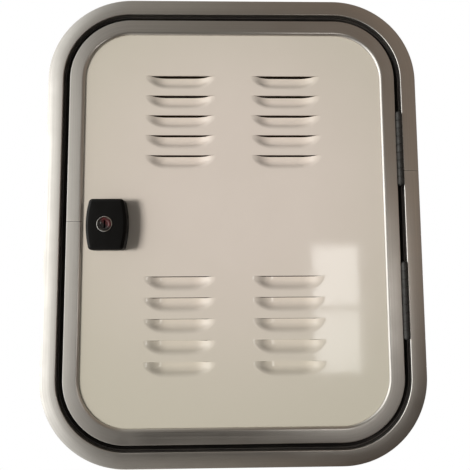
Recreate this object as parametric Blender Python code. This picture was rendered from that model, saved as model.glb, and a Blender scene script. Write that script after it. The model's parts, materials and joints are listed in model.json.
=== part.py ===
# Gas locker door for a caravan wall: a bent aluminium wall frame, and a hinged, louvred door
# with a cam lock.
# Metres. X runs to the right as seen from outside, Y runs into the wall and Z runs up.
# The origin is on the back of the wall frame's flange, in the middle of its bottom run.

import math

import bmesh
import bpy

# Outline: every ring is a rounded rectangle, and all share the same four corner centres
OVERALL_W = 0.3812
OVERALL_H = 0.4742
OUTER_CORNER_R = 0.0856
CORNER_STEPS = 10
SEAT = 0.0003  # clearance between pieces that touch

# Wall frame
FLANGE_W = 0.0162
FLANGE_FACE = 0.0031  # height in front of the wall, at its inner edge
FLANGE_FALL = 0.0023  # the face is cambered and falls away towards its outer edge
FLANGE_CAMBER = 1.8  # power of the fall
EDGE_BREAK = 0.0004
FRAME_WEB_T = 0.0018
LEDGE_W = 0.010
LEDGE_T = 0.0016
REAR_WEB = 0.0104  # web behind the ledge
FRAME_JOINT_Z = 0.0545  # butt joint on the right, above the middle
JOINT_SLIT = 0.0003
FIXING_HOLE_R = 0.0019
FIXING_SIDE_INSET = 0.0115  # outer fixing holes, from the ends of the straight runs
FIXING_END_INSET = 0.035

# Door frame
GAP_W = 0.0067  # between the two frames
DOOR_FLANGE_W = 0.0152
DOOR_FLANGE_T = 0.0018
DOOR_FACE = 0.0033  # how far the door's face stands in front of the wall
DOOR_FALL = 0.0004  # towards the outer edge
DOOR_CAMBER = 2
DOOR_WEB_T = 0.0015
DOOR_WEB_BACK = 0.0080
LIP_W = 0.0030  # the flange rolls down to the sheet over this width
DOOR_JOINT_Z = 0.0030  # butt joint on the left

# Panel and its groove
PANEL_T = 0.0012
PANEL_FRONT = 0.0006  # how far the panel's face stands in front of the wall
GROOVE_W = 0.0042  # how far the sheet runs under the lip
GROOVE_LEG_T = 0.0013
GROOVE_FOOT_T = 0.0012
GROOVE_FOOT_SHORT = 0.0010  # foot's edge behind the lip's edge

# Louvres, each pressed inwards below a slit
LOUVRE_L = 0.074
LOUVRE_H = 0.0140
LOUVRE_DEPTH = 0.0042
LOUVRE_SLIT = 0.0006
LOUVRE_PITCH = 0.0210
LOUVRES_PER_GROUP = 5
GROUP_X = 0.0545
UPPER_GROUP_Z = 0.1134  # middle slit of the upper groups, from the middle
LOWER_GROUP_Z = -0.0943
LOUVRE_END_W = 0.0140  # length of each end that rises to the flat
LOUVRE_FULL_H = 0.0042  # height of the deepest part, below the slit
LOUVRE_BLEND = 0.2  # share of the rise that rolls out into the flat
LOUVRE_CORNER_POWER = 3
LOUVRE_STEPS_X = 10
LOUVRE_STEPS_Z = 3

# Rebate seal
SEAL_H = 0.0054  # ledge to the door's web
SEAL_LEG_T = 0.0010
SEAL_FOOT_T = 0.0013
SEAL_LEG_START = 0.0025  # first strip of the web stays bare
BULB_R = 0.0024
BULB_STEPS = 6

# Hinges
HINGE_L = 0.075
HINGE_Z = 0.0775  # each hinge's middle, above and below the door's middle
HINGE_PROUD = 0.0002  # pin in front of the door's face
KNUCKLES = 9
LEAF_T = 0.0012
FRAME_LEAF_BACK = 0.0121
DOOR_LEAF_BACK = 0.0077
CURL_DEG = 300
CURL_STEPS = 8
PIN_HEAD_R = 0.0023
PIN_HEAD_H = 0.0008
RIVETS_PER_LEAF = 3
RIVET_INSET = 0.0115  # outer rivets from the leaf's ends
FRAME_RIVET_Y = 0.0072
DOOR_RIVET_Y = 0.0043

# Rivets and joint plates
RIVET_R = 0.0015
RIVET_HEAD_R = 0.0025
RIVET_HEAD_H = 0.0009
RIVET_TAIL_R = 0.0021
RIVET_TAIL_H = 0.0016
ROUND_STEPS = 8
PLATE_L = 0.040
PLATE_T = 0.0015
FRAME_PLATE_W = 0.0080
DOOR_PLATE_W = 0.0060
PLATE_RIVET_PITCH = 0.011  # rivets from the butt joint

# Lock
LOCK_INSET = 0.0258  # lock's axis from the panel's seen edge
LOCK_Z = -0.0010
HOUSING_W = 0.0400
HOUSING_END_W = 0.0330
HOUSING_H = 0.0505
HOUSING_SHIFT = 0.0011  # its middle from the lock's axis, away from the door's edge
HOUSING_D = 0.0147
HOUSING_CORNER_R = 0.0040
HOUSING_CHAMFER_W = 0.0028
HOUSING_CHAMFER_D = 0.0024
HOUSING_WALL = 0.0022
HOUSING_SIDE_STEPS = 8
BOSS_R = 0.0102
SLEEVE_R = 0.0077
SLEEVE_PROUD = 0.0006
SLEEVE_SHOULDER = 0.0060  # length of the wide front part
SLEEVE_EDGE = 0.0006
THREAD_R = 0.0069
SLEEVE_BACK = 0.0085
PLUG_HEAD_R = 0.0062
PLUG_HEAD_T = 0.0026
PLUG_SUNK = 0.0012  # plug's face behind the sleeve's rim
PLUG_R = 0.0050
PLUG_SQUARE = 0.0070
KEYWAY_W = 0.0018
KEYWAY_H = 0.0078
KEYWAY_D = 0.0090
LOCK_WASHER_R = 0.0110
WASHER_T = 0.0010
NUT_FLATS = 0.0190
NUT_T = 0.0040
LOCK_STEPS = 24
CAM_T = 0.0020
CAM_W = 0.0150
CAM_TIP_W = 0.0120
CAM_GAP = 0.0008  # behind the ledge when locked
CAM_BITE = 0.0050  # how far it reaches behind the ledge
CAM_CRANK_START = 0.0110
CAM_CRANK_L = 0.0110
CAM_STEPS = 14
SCREW_R = 0.0022
SCREW_HEAD_R = 0.0046
SCREW_HEAD_H = 0.0024
SCREW_IN_PLUG = 0.0080
SCREW_SLOT_W = 0.0010
SCREW_SLOT_D = 0.0012

# Worked out from the sizes above; ring radii are from the corner centres
CORNER_X = OVERALL_W / 2 - OUTER_CORNER_R
CORNER_Z = OVERALL_H / 2 - OUTER_CORNER_R
MID_Z = OVERALL_H / 2 - FLANGE_W / 2
FRAME_IN = OUTER_CORNER_R - FLANGE_W
DOOR_OUT = FRAME_IN - GAP_W
PANEL_SEEN = DOOR_OUT - DOOR_FLANGE_W
PANEL_EDGE = PANEL_SEEN + GROOVE_W
PANEL_BACK = PANEL_T - PANEL_FRONT
LEDGE_IN = FRAME_IN - LEDGE_W
LEDGE_FRONT = DOOR_WEB_BACK + 2 * SEAT + SEAL_H
LEDGE_BACK = LEDGE_FRONT + LEDGE_T
FRAME_BACK = LEDGE_BACK + REAR_WEB
HINGE_X = CORNER_X + DOOR_OUT + GAP_W / 2
HINGE_Y = -DOOR_FACE + DOOR_FALL - HINGE_PROUD
KNUCKLE_R = GAP_W / 2 - SEAT
KNUCKLE_PITCH = (HINGE_L + SEAT) / KNUCKLES
PIN_R = KNUCKLE_R - LEAF_T - SEAT
RIVET_HOLE_R = RIVET_R + SEAT
LOCK_X = -(CORNER_X + PANEL_SEEN) + LOCK_INSET
HOUSING_BACK_Y = -PANEL_FRONT - SEAT
HOUSING_FRONT_Y = HOUSING_BACK_Y - HOUSING_D
SLEEVE_FRONT_Y = HOUSING_FRONT_Y - SLEEVE_PROUD
SHOULDER_Y = SLEEVE_FRONT_Y + SLEEVE_SHOULDER
PLUG_FRONT_Y = SLEEVE_FRONT_Y + PLUG_SUNK
PLUG_HEAD_BACK_Y = PLUG_FRONT_Y + PLUG_HEAD_T
PLUG_BACK_Y = SLEEVE_BACK + SEAT
CAM_HUB_Y = PLUG_BACK_Y + SEAT
CAM_HUB_BACK_Y = CAM_HUB_Y + CAM_T
CAM_TIP_Y = LEDGE_BACK + CAM_GAP
CAM_REACH = CORNER_X + LEDGE_IN + CAM_BITE + LOCK_X
CAM_WASHER_Y = CAM_HUB_BACK_Y + SEAT
SCREW_HEAD_Y = CAM_WASHER_Y + WASHER_T + SEAT


def clear_scene():
    for obj in list(bpy.data.objects):
        bpy.data.objects.remove(obj, do_unlink=True)


def finish(name, color, roughness, metallic):
    material = bpy.data.materials.new(name)
    material.use_nodes = True
    shader = material.node_tree.nodes["Principled BSDF"]
    shader.inputs["Base Color"].default_value = (*color, 1)
    shader.inputs["Roughness"].default_value = roughness
    shader.inputs["Metallic"].default_value = metallic
    material.diffuse_color = (*color, 1)
    return material


def add_axis(name, place, parent=None):
    axis = bpy.data.objects.new(name, None)
    bpy.context.collection.objects.link(axis)
    axis.location = place
    if parent:
        axis.parent = parent
        axis.matrix_parent_inverse.translation = [-v for v in parent.location]
    return axis


def mesh_of(name, bm, material):
    bmesh.ops.recalc_face_normals(bm, faces=bm.faces)
    mesh = bpy.data.meshes.new(name)
    bm.to_mesh(mesh)
    bm.free()
    mesh.shade_smooth()
    mesh.set_sharp_from_angle(angle=math.radians(32))
    if material:
        mesh.materials.append(material)
    return mesh


def add_piece(name, mesh, axis=None, location=(0, 0, 0), rotation=(0, 0, 0)):
    piece = bpy.data.objects.new(name, mesh)
    bpy.context.collection.objects.link(piece)
    piece.location = location
    piece.rotation_euler = rotation
    if axis:
        piece.parent = axis
        piece.matrix_parent_inverse.translation = [-v for v in axis.location]
    return piece


def cut(piece, name, bm, axis=None, how="DIFFERENCE"):
    cutter = add_piece(name, mesh_of(name, bm, None), axis)
    cutter.hide_render = True
    cutter.display_type = "WIRE"
    boolean = piece.modifiers.new(name, "BOOLEAN")
    boolean.object = cutter
    boolean.operation = how
    boolean.solver = "EXACT"


def arc(center, radius, start, end, steps):
    points = []
    for i in range(steps + 1):
        turn = math.radians(start + (end - start) * i / steps)
        points.append((center[0] + radius * math.cos(turn), center[1] + radius * math.sin(turn)))
    return points


def cambered(inner, outer, height, fall, camber):
    """Face of a flange between two radii, falling from its inner edge to its outer one."""
    inner += EDGE_BREAK
    width = outer - EDGE_BREAK - inner
    return [(inner + width * s, -height + fall * s**camber) for s in (0, 0.3, 0.55, 0.8, 1)]


def ring_stations(joint_side=0, joint_z=0.0):
    """Corner centre and outward direction of each station; a butt joint opens the ring on one side."""
    corners = [(1, 1, 0), (-1, 1, 90), (-1, -1, 180), (1, -1, 270)]
    if joint_side < 0:
        corners = corners[2:] + corners[:2]
    stations = []
    for side_x, side_z, first in corners:
        for i in range(CORNER_STEPS + 1):
            turn = math.radians(first + 90 * i / CORNER_STEPS)
            stations.append(((side_x * CORNER_X, side_z * CORNER_Z), (math.cos(turn), math.sin(turn))))
    if joint_side:
        half = joint_side * JOINT_SLIT / 2
        first = ((joint_side * CORNER_X, joint_z + half), (joint_side, 0))
        last = ((joint_side * CORNER_X, joint_z - half), (joint_side, 0))
        stations = [first] + stations + [last]
    return stations


def on_ring(station, radius, y):
    (corner_x, corner_z), (out_x, out_z) = station
    return (corner_x + radius * out_x, y, MID_Z + corner_z + radius * out_z)


def join_rings(bm, rings, closed):
    """Quads between rings of equal length, and flat ends unless the rings close on themselves."""
    count = len(rings[0])
    pairs = list(zip(rings, rings[1:]))
    if closed:
        pairs.append((rings[-1], rings[0]))
    for near, far in pairs:
        for i in range(count):
            j = (i + 1) % count
            bm.faces.new((near[i], near[j], far[j], far[i]))
    if not closed:
        bm.faces.new(rings[0])
        bm.faces.new(list(reversed(rings[-1])))


def swept_ring(profile, joint_side=0, joint_z=0.0):
    bm = bmesh.new()
    rings = []
    for station in ring_stations(joint_side, joint_z):
        rings.append([bm.verts.new(on_ring(station, r, y)) for r, y in profile])
    join_rings(bm, rings, closed=not joint_side)
    return bm


def turned(profile, steps, closed=False):
    """Turns (radius, height) pairs about local Z: closed with a bore, or else from axis to axis."""
    bm = bmesh.new()
    rings = []
    for i in range(steps):
        turn = 2 * math.pi * i / steps
        rings.append([])
        for radius, height in profile if closed else profile[1:-1]:
            place = (radius * math.cos(turn), radius * math.sin(turn), height)
            rings[-1].append(bm.verts.new(place))
    if closed:
        join_rings(bm, rings, closed=True)
        return bm
    start = bm.verts.new((0, 0, profile[0][1]))
    end = bm.verts.new((0, 0, profile[-1][1]))
    for i, near in enumerate(rings):
        far = rings[(i + 1) % steps]
        bm.faces.new((start, near[0], far[0]))
        bm.faces.new((end, far[-1], near[-1]))
        for j in range(len(near) - 1):
            bm.faces.new((near[j], near[j + 1], far[j + 1], far[j]))
    return bm


def prism(outline, start, end):
    """Extrudes an (x, z) outline along Y."""
    bm = bmesh.new()
    rings = [[bm.verts.new((x, y, z)) for x, z in outline] for y in (start, end)]
    join_rings(bm, rings, closed=False)
    return bm


def box(low, high):
    outline = [(low[0], low[2]), (high[0], low[2]), (high[0], high[2]), (low[0], high[2])]
    return prism(outline, low[1], high[1])


def holes_along(direction, places, radius, length):
    """Cutters for round holes: cylinders of one radius, centred on their places, along X or Z."""
    bm = bmesh.new()
    for x, y, z in places:
        rings = []
        for end in (-length / 2, length / 2):
            ring = []
            for a, b in arc((0, 0), radius, 0, 360, ROUND_STEPS)[:-1]:
                offset = (end, a, b) if direction == "X" else (a, b, end)
                ring.append(bm.verts.new((x + offset[0], y + offset[1], z + offset[2])))
            rings.append(ring)
        join_rings(bm, rings, closed=False)
    return bm


def along_y(bm, x, y, z):
    """Stands a turned piece along +Y, with its height measured from y."""
    for vert in bm.verts:
        a, b, height = vert.co
        vert.co = (x + a, y + height, z + b)
    return bm


def rivet_mesh(name, grip, material):
    """Blind rivet along local Z: the head stands above z = 0 and the grip runs down from it."""
    rise = RIVET_HEAD_H
    profile = [(0, SEAT + rise), (RIVET_HEAD_R * 0.6, SEAT + rise * 0.85), (RIVET_HEAD_R, SEAT)]
    profile += [(RIVET_R, SEAT), (RIVET_R, -grip - SEAT)]
    profile += [(RIVET_TAIL_R, -grip - SEAT), (RIVET_TAIL_R * 0.8, -grip - RIVET_TAIL_H)]
    profile += [(0, -grip - RIVET_TAIL_H)]
    return mesh_of(name, turned(profile, ROUND_STEPS), material)


def hinge_mids():
    return {"upper": MID_Z + HINGE_Z, "lower": MID_Z - HINGE_Z}


def leaf_rivet_heights(mid):
    reach = HINGE_L / 2 - RIVET_INSET
    return [mid + reach * (2 * i / (RIVETS_PER_LEAF - 1) - 1) for i in range(RIVETS_PER_LEAF)]


def plate_rivet_heights(joint_z):
    return [MID_Z + joint_z + side * PLATE_RIVET_PITCH for side in (-1, 1)]


def frame_plate_rivets():
    y = LEDGE_BACK + REAR_WEB / 2
    return [(CORNER_X + FRAME_IN, y, z) for z in plate_rivet_heights(FRAME_JOINT_Z)]


def door_plate_rivets():
    y = DOOR_WEB_BACK / 2
    return [(-CORNER_X - DOOR_OUT, y, z) for z in plate_rivet_heights(DOOR_JOINT_Z)]


def build_wall_frame(aluminium):
    profile = [(FRAME_IN, -FLANGE_FACE + EDGE_BREAK)]
    profile += cambered(FRAME_IN, OUTER_CORNER_R, FLANGE_FACE, FLANGE_FALL, FLANGE_CAMBER)
    profile += [(OUTER_CORNER_R, -FLANGE_FACE + FLANGE_FALL + EDGE_BREAK), (OUTER_CORNER_R, 0)]
    profile += [(FRAME_IN + FRAME_WEB_T, 0)]
    profile += [(FRAME_IN + FRAME_WEB_T, FRAME_BACK), (FRAME_IN, FRAME_BACK), (FRAME_IN, LEDGE_BACK)]
    profile += [(LEDGE_IN, LEDGE_BACK), (LEDGE_IN, LEDGE_FRONT), (FRAME_IN, LEDGE_FRONT)]
    ring = swept_ring(profile, 1, FRAME_JOINT_Z)
    frame = add_piece("outer_frame", mesh_of("outer_frame", ring, aluminium))
    web = CORNER_X + FRAME_IN + FRAME_WEB_T / 2
    rivets = [(web, FRAME_RIVET_Y, z) for mid in hinge_mids().values() for z in leaf_rivet_heights(mid)]
    rivets += [(web, y, z) for _, y, z in frame_plate_rivets()]
    cut(frame, "frame_rivet_holes", holes_along("X", rivets, RIVET_HOLE_R, 3 * FRAME_WEB_T))
    y = LEDGE_BACK + REAR_WEB / 2
    heights = (-CORNER_Z + FIXING_SIDE_INSET, 0, CORNER_Z - FIXING_SIDE_INSET)
    sides = [(side * web, y, MID_Z + z) for side in (-1, 1) for z in heights]
    cut(frame, "frame_side_fixings", holes_along("X", sides, FIXING_HOLE_R, 3 * FRAME_WEB_T))
    end_web = CORNER_Z + FRAME_IN + FRAME_WEB_T / 2
    end_x = CORNER_X - FIXING_END_INSET
    ends = [(x, y, MID_Z + side * end_web) for side in (-1, 1) for x in (-end_x, end_x)]
    cut(frame, "frame_end_fixings", holes_along("Z", ends, FIXING_HOLE_R, 3 * FRAME_WEB_T))


def build_frame_joint(steel, rivet_steel):
    x = CORNER_X + FRAME_IN + FRAME_WEB_T + SEAT
    y = LEDGE_BACK + REAR_WEB / 2
    low = (x, y - FRAME_PLATE_W / 2, MID_Z + FRAME_JOINT_Z - PLATE_L / 2)
    high = (x + PLATE_T, y + FRAME_PLATE_W / 2, MID_Z + FRAME_JOINT_Z + PLATE_L / 2)
    plate = add_piece("frame_joint_plate", mesh_of("frame_joint_plate", box(low, high), steel))
    holes = [(x + PLATE_T / 2, y, z) for _, y, z in frame_plate_rivets()]
    cut(plate, "frame_plate_holes", holes_along("X", holes, RIVET_HOLE_R, 3 * PLATE_T))
    mesh = rivet_mesh("frame_joint_rivet", FRAME_WEB_T + SEAT + PLATE_T, rivet_steel)
    for i, place in enumerate(frame_plate_rivets(), 1):
        add_piece(f"frame_joint_rivet_{i}", mesh, None, place, (0, -math.pi / 2, 0))


def build_seal(rubber):
    leg_out = FRAME_IN - SEAT
    leg_in = leg_out - SEAL_LEG_T
    back = LEDGE_FRONT - SEAT
    foot = back - SEAL_FOOT_T
    bulb = (DOOR_OUT - DOOR_WEB_T / 2, DOOR_WEB_BACK + SEAT + BULB_R)
    profile = [(leg_in, SEAL_LEG_START), (leg_out, SEAL_LEG_START), (leg_out, back)]
    profile += [(bulb[0] - BULB_R, back)]
    profile += arc(bulb, BULB_R, 180, 360, BULB_STEPS)
    profile += [(bulb[0] + BULB_R, foot), (leg_in, foot)]
    seal = add_piece("rebate_seal", mesh_of("rebate_seal", swept_ring(profile), rubber))
    leaf_in = CORNER_X + FRAME_IN - SEAT - LEAF_T
    for where, mid in hinge_mids().items():
        low = (leaf_in - SEAT, -SEAL_LEG_START, mid - HINGE_L / 2 - SEAT)
        high = (CORNER_X + FRAME_IN + SEAT, foot, mid + HINGE_L / 2 + SEAT)
        cut(seal, f"seal_notch_{where}", box(low, high))


def build_door_frame(aluminium, axis):
    lip = -PANEL_FRONT - SEAT
    foot = PANEL_BACK + SEAT
    leg = PANEL_EDGE + SEAT
    lip_out = PANEL_SEEN + LIP_W
    face = cambered(lip_out - EDGE_BREAK, DOOR_OUT, DOOR_FACE, DOOR_FALL, DOOR_CAMBER)
    profile = [(DOOR_OUT, DOOR_WEB_BACK), (DOOR_OUT, -DOOR_FACE + DOOR_FALL + EDGE_BREAK)]
    profile += reversed(face)
    for turn in (math.radians(35), math.radians(65)):
        profile.append((lip_out - LIP_W * math.sin(turn), lip - (DOOR_FACE + lip) * math.cos(turn)))
    profile += [(PANEL_SEEN, lip), (leg, lip), (leg, foot), (PANEL_SEEN + GROOVE_FOOT_SHORT, foot)]
    profile += [(PANEL_SEEN + GROOVE_FOOT_SHORT, foot + GROOVE_FOOT_T)]
    flange_back = -DOOR_FACE + DOOR_FLANGE_T
    profile += [(leg + GROOVE_LEG_T, foot + GROOVE_FOOT_T), (leg + GROOVE_LEG_T, flange_back)]
    profile += [(DOOR_OUT - DOOR_WEB_T, flange_back), (DOOR_OUT - DOOR_WEB_T, DOOR_WEB_BACK)]
    ring = swept_ring(profile, -1, DOOR_JOINT_Z)
    door = add_piece("door_frame", mesh_of("door_frame", ring, aluminium), axis)
    web = CORNER_X + DOOR_OUT - DOOR_WEB_T / 2
    rivets = [(web, DOOR_RIVET_Y, z) for mid in hinge_mids().values() for z in leaf_rivet_heights(mid)]
    rivets += [(-web, y, z) for _, y, z in door_plate_rivets()]
    cut(door, "door_rivet_holes", holes_along("X", rivets, RIVET_HOLE_R, 3 * DOOR_WEB_T), axis)


def build_door_joint(steel, rivet_steel, axis):
    x = -(CORNER_X + DOOR_OUT - DOOR_WEB_T - SEAT)
    y = DOOR_WEB_BACK / 2
    low = (x, y - DOOR_PLATE_W / 2, MID_Z + DOOR_JOINT_Z - PLATE_L / 2)
    high = (x + PLATE_T, y + DOOR_PLATE_W / 2, MID_Z + DOOR_JOINT_Z + PLATE_L / 2)
    plate = add_piece("door_joint_plate", mesh_of("door_joint_plate", box(low, high), steel), axis)
    holes = [(x + PLATE_T / 2, y, z) for _, y, z in door_plate_rivets()]
    cut(plate, "door_plate_holes", holes_along("X", holes, RIVET_HOLE_R, 3 * PLATE_T), axis)
    mesh = rivet_mesh("door_joint_rivet", DOOR_WEB_T + SEAT + PLATE_T, rivet_steel)
    for i, place in enumerate(door_plate_rivets(), 1):
        add_piece(f"door_joint_rivet_{i}", mesh, axis, place, (0, -math.pi / 2, 0))


def louvre_depth(u, v):
    """Share of the full depth: u from the middle (0) to the ends (1), v from the slit (0) down (1)."""
    end = LOUVRE_END_W / (LOUVRE_L / 2)
    full = LOUVRE_FULL_H / LOUVRE_H
    out = math.hypot(max(0, (abs(u) - 1 + end) / end), max(0, (v - full) / (1 - full)))
    if out < 1 - LOUVRE_BLEND:
        return 1 - out**2 / (1 - LOUVRE_BLEND)
    return max(0, 1 - out) ** 2 / LOUVRE_BLEND


def add_louvre(bm, mid_x, slit_z):
    """Pressed patch below a slit. Returns the patch's outline edges in the flat of the sheet."""
    half = LOUVRE_L / 2
    us = [math.sin(math.pi / 2 * (2 * i / LOUVRE_STEPS_X - 1)) for i in range(LOUVRE_STEPS_X + 1)]
    ends = [bm.verts.new((mid_x + side * half, -PANEL_FRONT, slit_z)) for side in (-1, 1)]
    upper = [bm.verts.new((mid_x + half * u, -PANEL_FRONT, slit_z)) for u in us[1:-1]]
    columns = []
    for u in us[1:-1]:
        reach = LOUVRE_H * (1 - abs(u) ** LOUVRE_CORNER_POWER) ** (1 / LOUVRE_CORNER_POWER)
        column = []
        for k in range(LOUVRE_STEPS_Z + 1):
            v = k / LOUVRE_STEPS_Z
            sunk = LOUVRE_DEPTH * louvre_depth(u, v)
            drop = LOUVRE_SLIT * louvre_depth(u, 0) * (1 - v) + reach * v
            column.append(bm.verts.new((mid_x + half * u, -PANEL_FRONT + sunk, slit_z - drop)))
        columns.append(column)
    for end, column in ((ends[0], columns[0]), (ends[1], columns[-1])):
        for above, below in zip(column, column[1:]):
            bm.faces.new((end, above, below))
    for near, far in zip(columns, columns[1:]):
        for k in range(LOUVRE_STEPS_Z):
            bm.faces.new((near[k], near[k + 1], far[k + 1], far[k]))
    outline = [ends[0]] + upper + [ends[1]] + [column[-1] for column in reversed(columns)]
    return loop_edges(bm, outline)


def loop_edges(bm, verts):
    edges = []
    for i, vert in enumerate(verts):
        pair = (vert, verts[(i + 1) % len(verts)])
        edges.append(bm.edges.get(pair) or bm.edges.new(pair))
    return edges


def build_panel(enamel, axis):
    bm = bmesh.new()
    rim = [bm.verts.new(on_ring(station, PANEL_EDGE, -PANEL_FRONT)) for station in ring_stations()]
    edges = loop_edges(bm, rim)
    hole = arc((LOCK_X, MID_Z + LOCK_Z), THREAD_R + SEAT, 0, 360, LOCK_STEPS)[:-1]
    edges += loop_edges(bm, [bm.verts.new((x, -PANEL_FRONT, z)) for x, z in hole])
    half = (LOUVRES_PER_GROUP - 1) / 2
    for mid_x in (-GROUP_X, GROUP_X):
        for mid_z in (UPPER_GROUP_Z, LOWER_GROUP_Z):
            for i in range(LOUVRES_PER_GROUP):
                edges += add_louvre(bm, mid_x, MID_Z + mid_z + LOUVRE_PITCH * (i - half))
    bmesh.ops.triangle_fill(bm, use_beauty=True, edges=edges, normal=(0, -1, 0))
    bmesh.ops.recalc_face_normals(bm, faces=bm.faces)
    back = bmesh.ops.extrude_face_region(bm, geom=list(bm.faces), use_keep_orig=True)["geom"]
    for vert in (item for item in back if isinstance(item, bmesh.types.BMVert)):
        vert.co.y += PANEL_T
    add_piece("door_panel", mesh_of("door_panel", bm, enamel), axis)


def hinge_leaf(side, mid, first_knuckle, leaf_back):
    """Rolled leaf: a strip that carries every other knuckle. Side 1 is the wall frame's, -1 the door's."""
    bottom = mid - HINGE_L / 2
    owned = []
    for k in range(first_knuckle, KNUCKLES, 2):
        start = bottom + k * KNUCKLE_PITCH
        owned.append((start, start + KNUCKLE_PITCH - SEAT))
    levels = {bottom, bottom + HINGE_L}
    levels.update(level for span in owned for level in span)
    levels = sorted(levels)
    strip_y = KNUCKLE_R + SEAT
    back_y = leaf_back - HINGE_Y
    curl = arc((0, 0), KNUCKLE_R, 0, -CURL_DEG, CURL_STEPS)
    curl += reversed(arc((0, 0), KNUCKLE_R - LEAF_T, 0, -CURL_DEG, CURL_STEPS))
    face = KNUCKLE_R - LEAF_T
    strip = [(KNUCKLE_R, strip_y), (face, strip_y), (face, back_y), (KNUCKLE_R, back_y)]
    bm = bmesh.new()

    def at(point, z):
        return bm.verts.new((HINGE_X + side * point[0], HINGE_Y + point[1], z))

    rows = [[at(point, z) for point in strip] for z in levels]
    for low, high, low_z, high_z in zip(rows, rows[1:], levels, levels[1:]):
        for i in (1, 2, 3):
            j = (i + 1) % 4
            bm.faces.new((low[i], low[j], high[j], high[i]))
        if not any(start <= low_z and high_z <= end for start, end in owned):
            bm.faces.new((low[0], low[1], high[1], high[0]))
            continue
        ends = []
        for row, z in ((low, low_z), (high, high_z)):
            ends.append([row[0]] + [at(point, z) for point in curl] + [row[1]])
        for i in range(len(ends[0]) - 1):
            bm.faces.new((ends[0][i], ends[0][i + 1], ends[1][i + 1], ends[1][i]))
        bm.faces.new(ends[0])
        bm.faces.new(list(reversed(ends[1])))
    bm.faces.new(rows[0])
    bm.faces.new(list(reversed(rows[-1])))
    return bm


def build_hinges(black_steel, axis):
    pin_profile = [(0, -HINGE_L / 2 - SEAT - PIN_HEAD_H), (PIN_HEAD_R, -HINGE_L / 2 - SEAT - PIN_HEAD_H)]
    pin_profile += [(PIN_HEAD_R, -HINGE_L / 2 - SEAT), (PIN_R, -HINGE_L / 2 - SEAT)]
    pin_profile += [(radius, -height) for radius, height in reversed(pin_profile)]
    pin = mesh_of("hinge_pin", turned(pin_profile, ROUND_STEPS), black_steel)
    frame_rivet = rivet_mesh("frame_leaf_rivet", LEAF_T + SEAT + FRAME_WEB_T, black_steel)
    door_rivet = rivet_mesh("door_leaf_rivet", LEAF_T + SEAT + DOOR_WEB_T, black_steel)
    leaf_face = KNUCKLE_R - LEAF_T
    kinds = [("frame", 1, 0, FRAME_LEAF_BACK, FRAME_RIVET_Y, frame_rivet, None)]
    kinds += [("door", -1, 1, DOOR_LEAF_BACK, DOOR_RIVET_Y, door_rivet, axis)]
    for where, mid in hinge_mids().items():
        add_piece(f"hinge_{where}_pin", pin, None, (HINGE_X, HINGE_Y, mid))
        for owner, side, first, leaf_back, rivet_y, rivet, parent in kinds:
            name = f"hinge_{where}_{owner}_leaf"
            rolled = hinge_leaf(side, mid, first, leaf_back)
            leaf = add_piece(name, mesh_of(name, rolled, black_steel), parent)
            face_x = HINGE_X + side * leaf_face
            places = [(face_x, rivet_y, z) for z in leaf_rivet_heights(mid)]
            cut(leaf, f"{name}_holes", holes_along("X", places, RIVET_HOLE_R, 4 * LEAF_T), parent)
            for i, place in enumerate(places, 1):
                turn = (0, -side * math.pi / 2, 0)
                add_piece(f"hinge_{where}_{owner}_rivet_{i}", rivet, parent, place, turn)


def housing_outline(inset):
    """Barrel-sided outline with rounded corners, moved inwards by inset."""
    half_h = HOUSING_H / 2 - inset
    bulge = (HOUSING_W - HOUSING_END_W) / 2
    radius = max(HOUSING_CORNER_R - inset, EDGE_BREAK)
    reach = half_h - radius

    def half_width(z):
        return HOUSING_W / 2 - inset - bulge * (z / (HOUSING_H / 2)) ** 2

    side = []
    for i in range(HOUSING_SIDE_STEPS + 1):
        z = reach * (2 * i / HOUSING_SIDE_STEPS - 1)
        side.append((half_width(z), z))
    corner = arc((half_width(reach) - radius, reach), radius, 0, 90, 4)[1:]
    right = side + corner
    top_left = [(-x, z) for x, z in reversed(corner)]
    left = [(-x, z) for x, z in reversed(side)]
    bottom_left = [(-x, -z) for x, z in corner]
    bottom_right = [(x, -z) for x, z in reversed(corner)]
    return right + top_left + left + bottom_left + bottom_right


def housing_body(levels):
    """Stacks housing outlines, given as (inset, y) pairs, into one solid."""
    bm = bmesh.new()
    rings = []
    for inset, y in levels:
        outline = housing_outline(inset)
        mid_x = LOCK_X + HOUSING_SHIFT
        rings.append([bm.verts.new((mid_x + x, y, MID_Z + LOCK_Z + z)) for x, z in outline])
    join_rings(bm, rings, closed=False)
    return bm


def on_lock_axis(profile, closed=False, steps=LOCK_STEPS):
    """Turned piece on the lock's axis, from (radius, y) pairs."""
    return along_y(turned(profile, steps, closed), LOCK_X, 0, MID_Z + LOCK_Z)


def build_housing(plastic, axis):
    shoulder = HOUSING_FRONT_Y + HOUSING_CHAMFER_D
    levels = [(0, HOUSING_BACK_Y), (0, shoulder), (HOUSING_CHAMFER_W, HOUSING_FRONT_Y)]
    housing = add_piece("lock_housing", mesh_of("lock_housing", housing_body(levels), plastic), axis)
    roof = HOUSING_FRONT_Y + HOUSING_WALL
    over = 2 * SEAT
    inner = [(HOUSING_WALL, HOUSING_BACK_Y + over), (HOUSING_WALL, shoulder + HOUSING_WALL)]
    inner += [(HOUSING_WALL + HOUSING_CHAMFER_W, roof)]
    cut(housing, "housing_cavity", housing_body(inner), axis)
    boss = [(0, roof - SEAT), (BOSS_R, roof - SEAT), (BOSS_R, HOUSING_BACK_Y), (0, HOUSING_BACK_Y)]
    cut(housing, "housing_boss", on_lock_axis(boss), axis, "UNION")
    step = SHOULDER_Y + SEAT
    bore = [(0, HOUSING_FRONT_Y - over), (SLEEVE_R + SEAT, HOUSING_FRONT_Y - over), (SLEEVE_R + SEAT, step)]
    bore += [(THREAD_R + SEAT, step), (THREAD_R + SEAT, HOUSING_BACK_Y + over), (0, HOUSING_BACK_Y + over)]
    cut(housing, "housing_bore", on_lock_axis(bore), axis)


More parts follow.
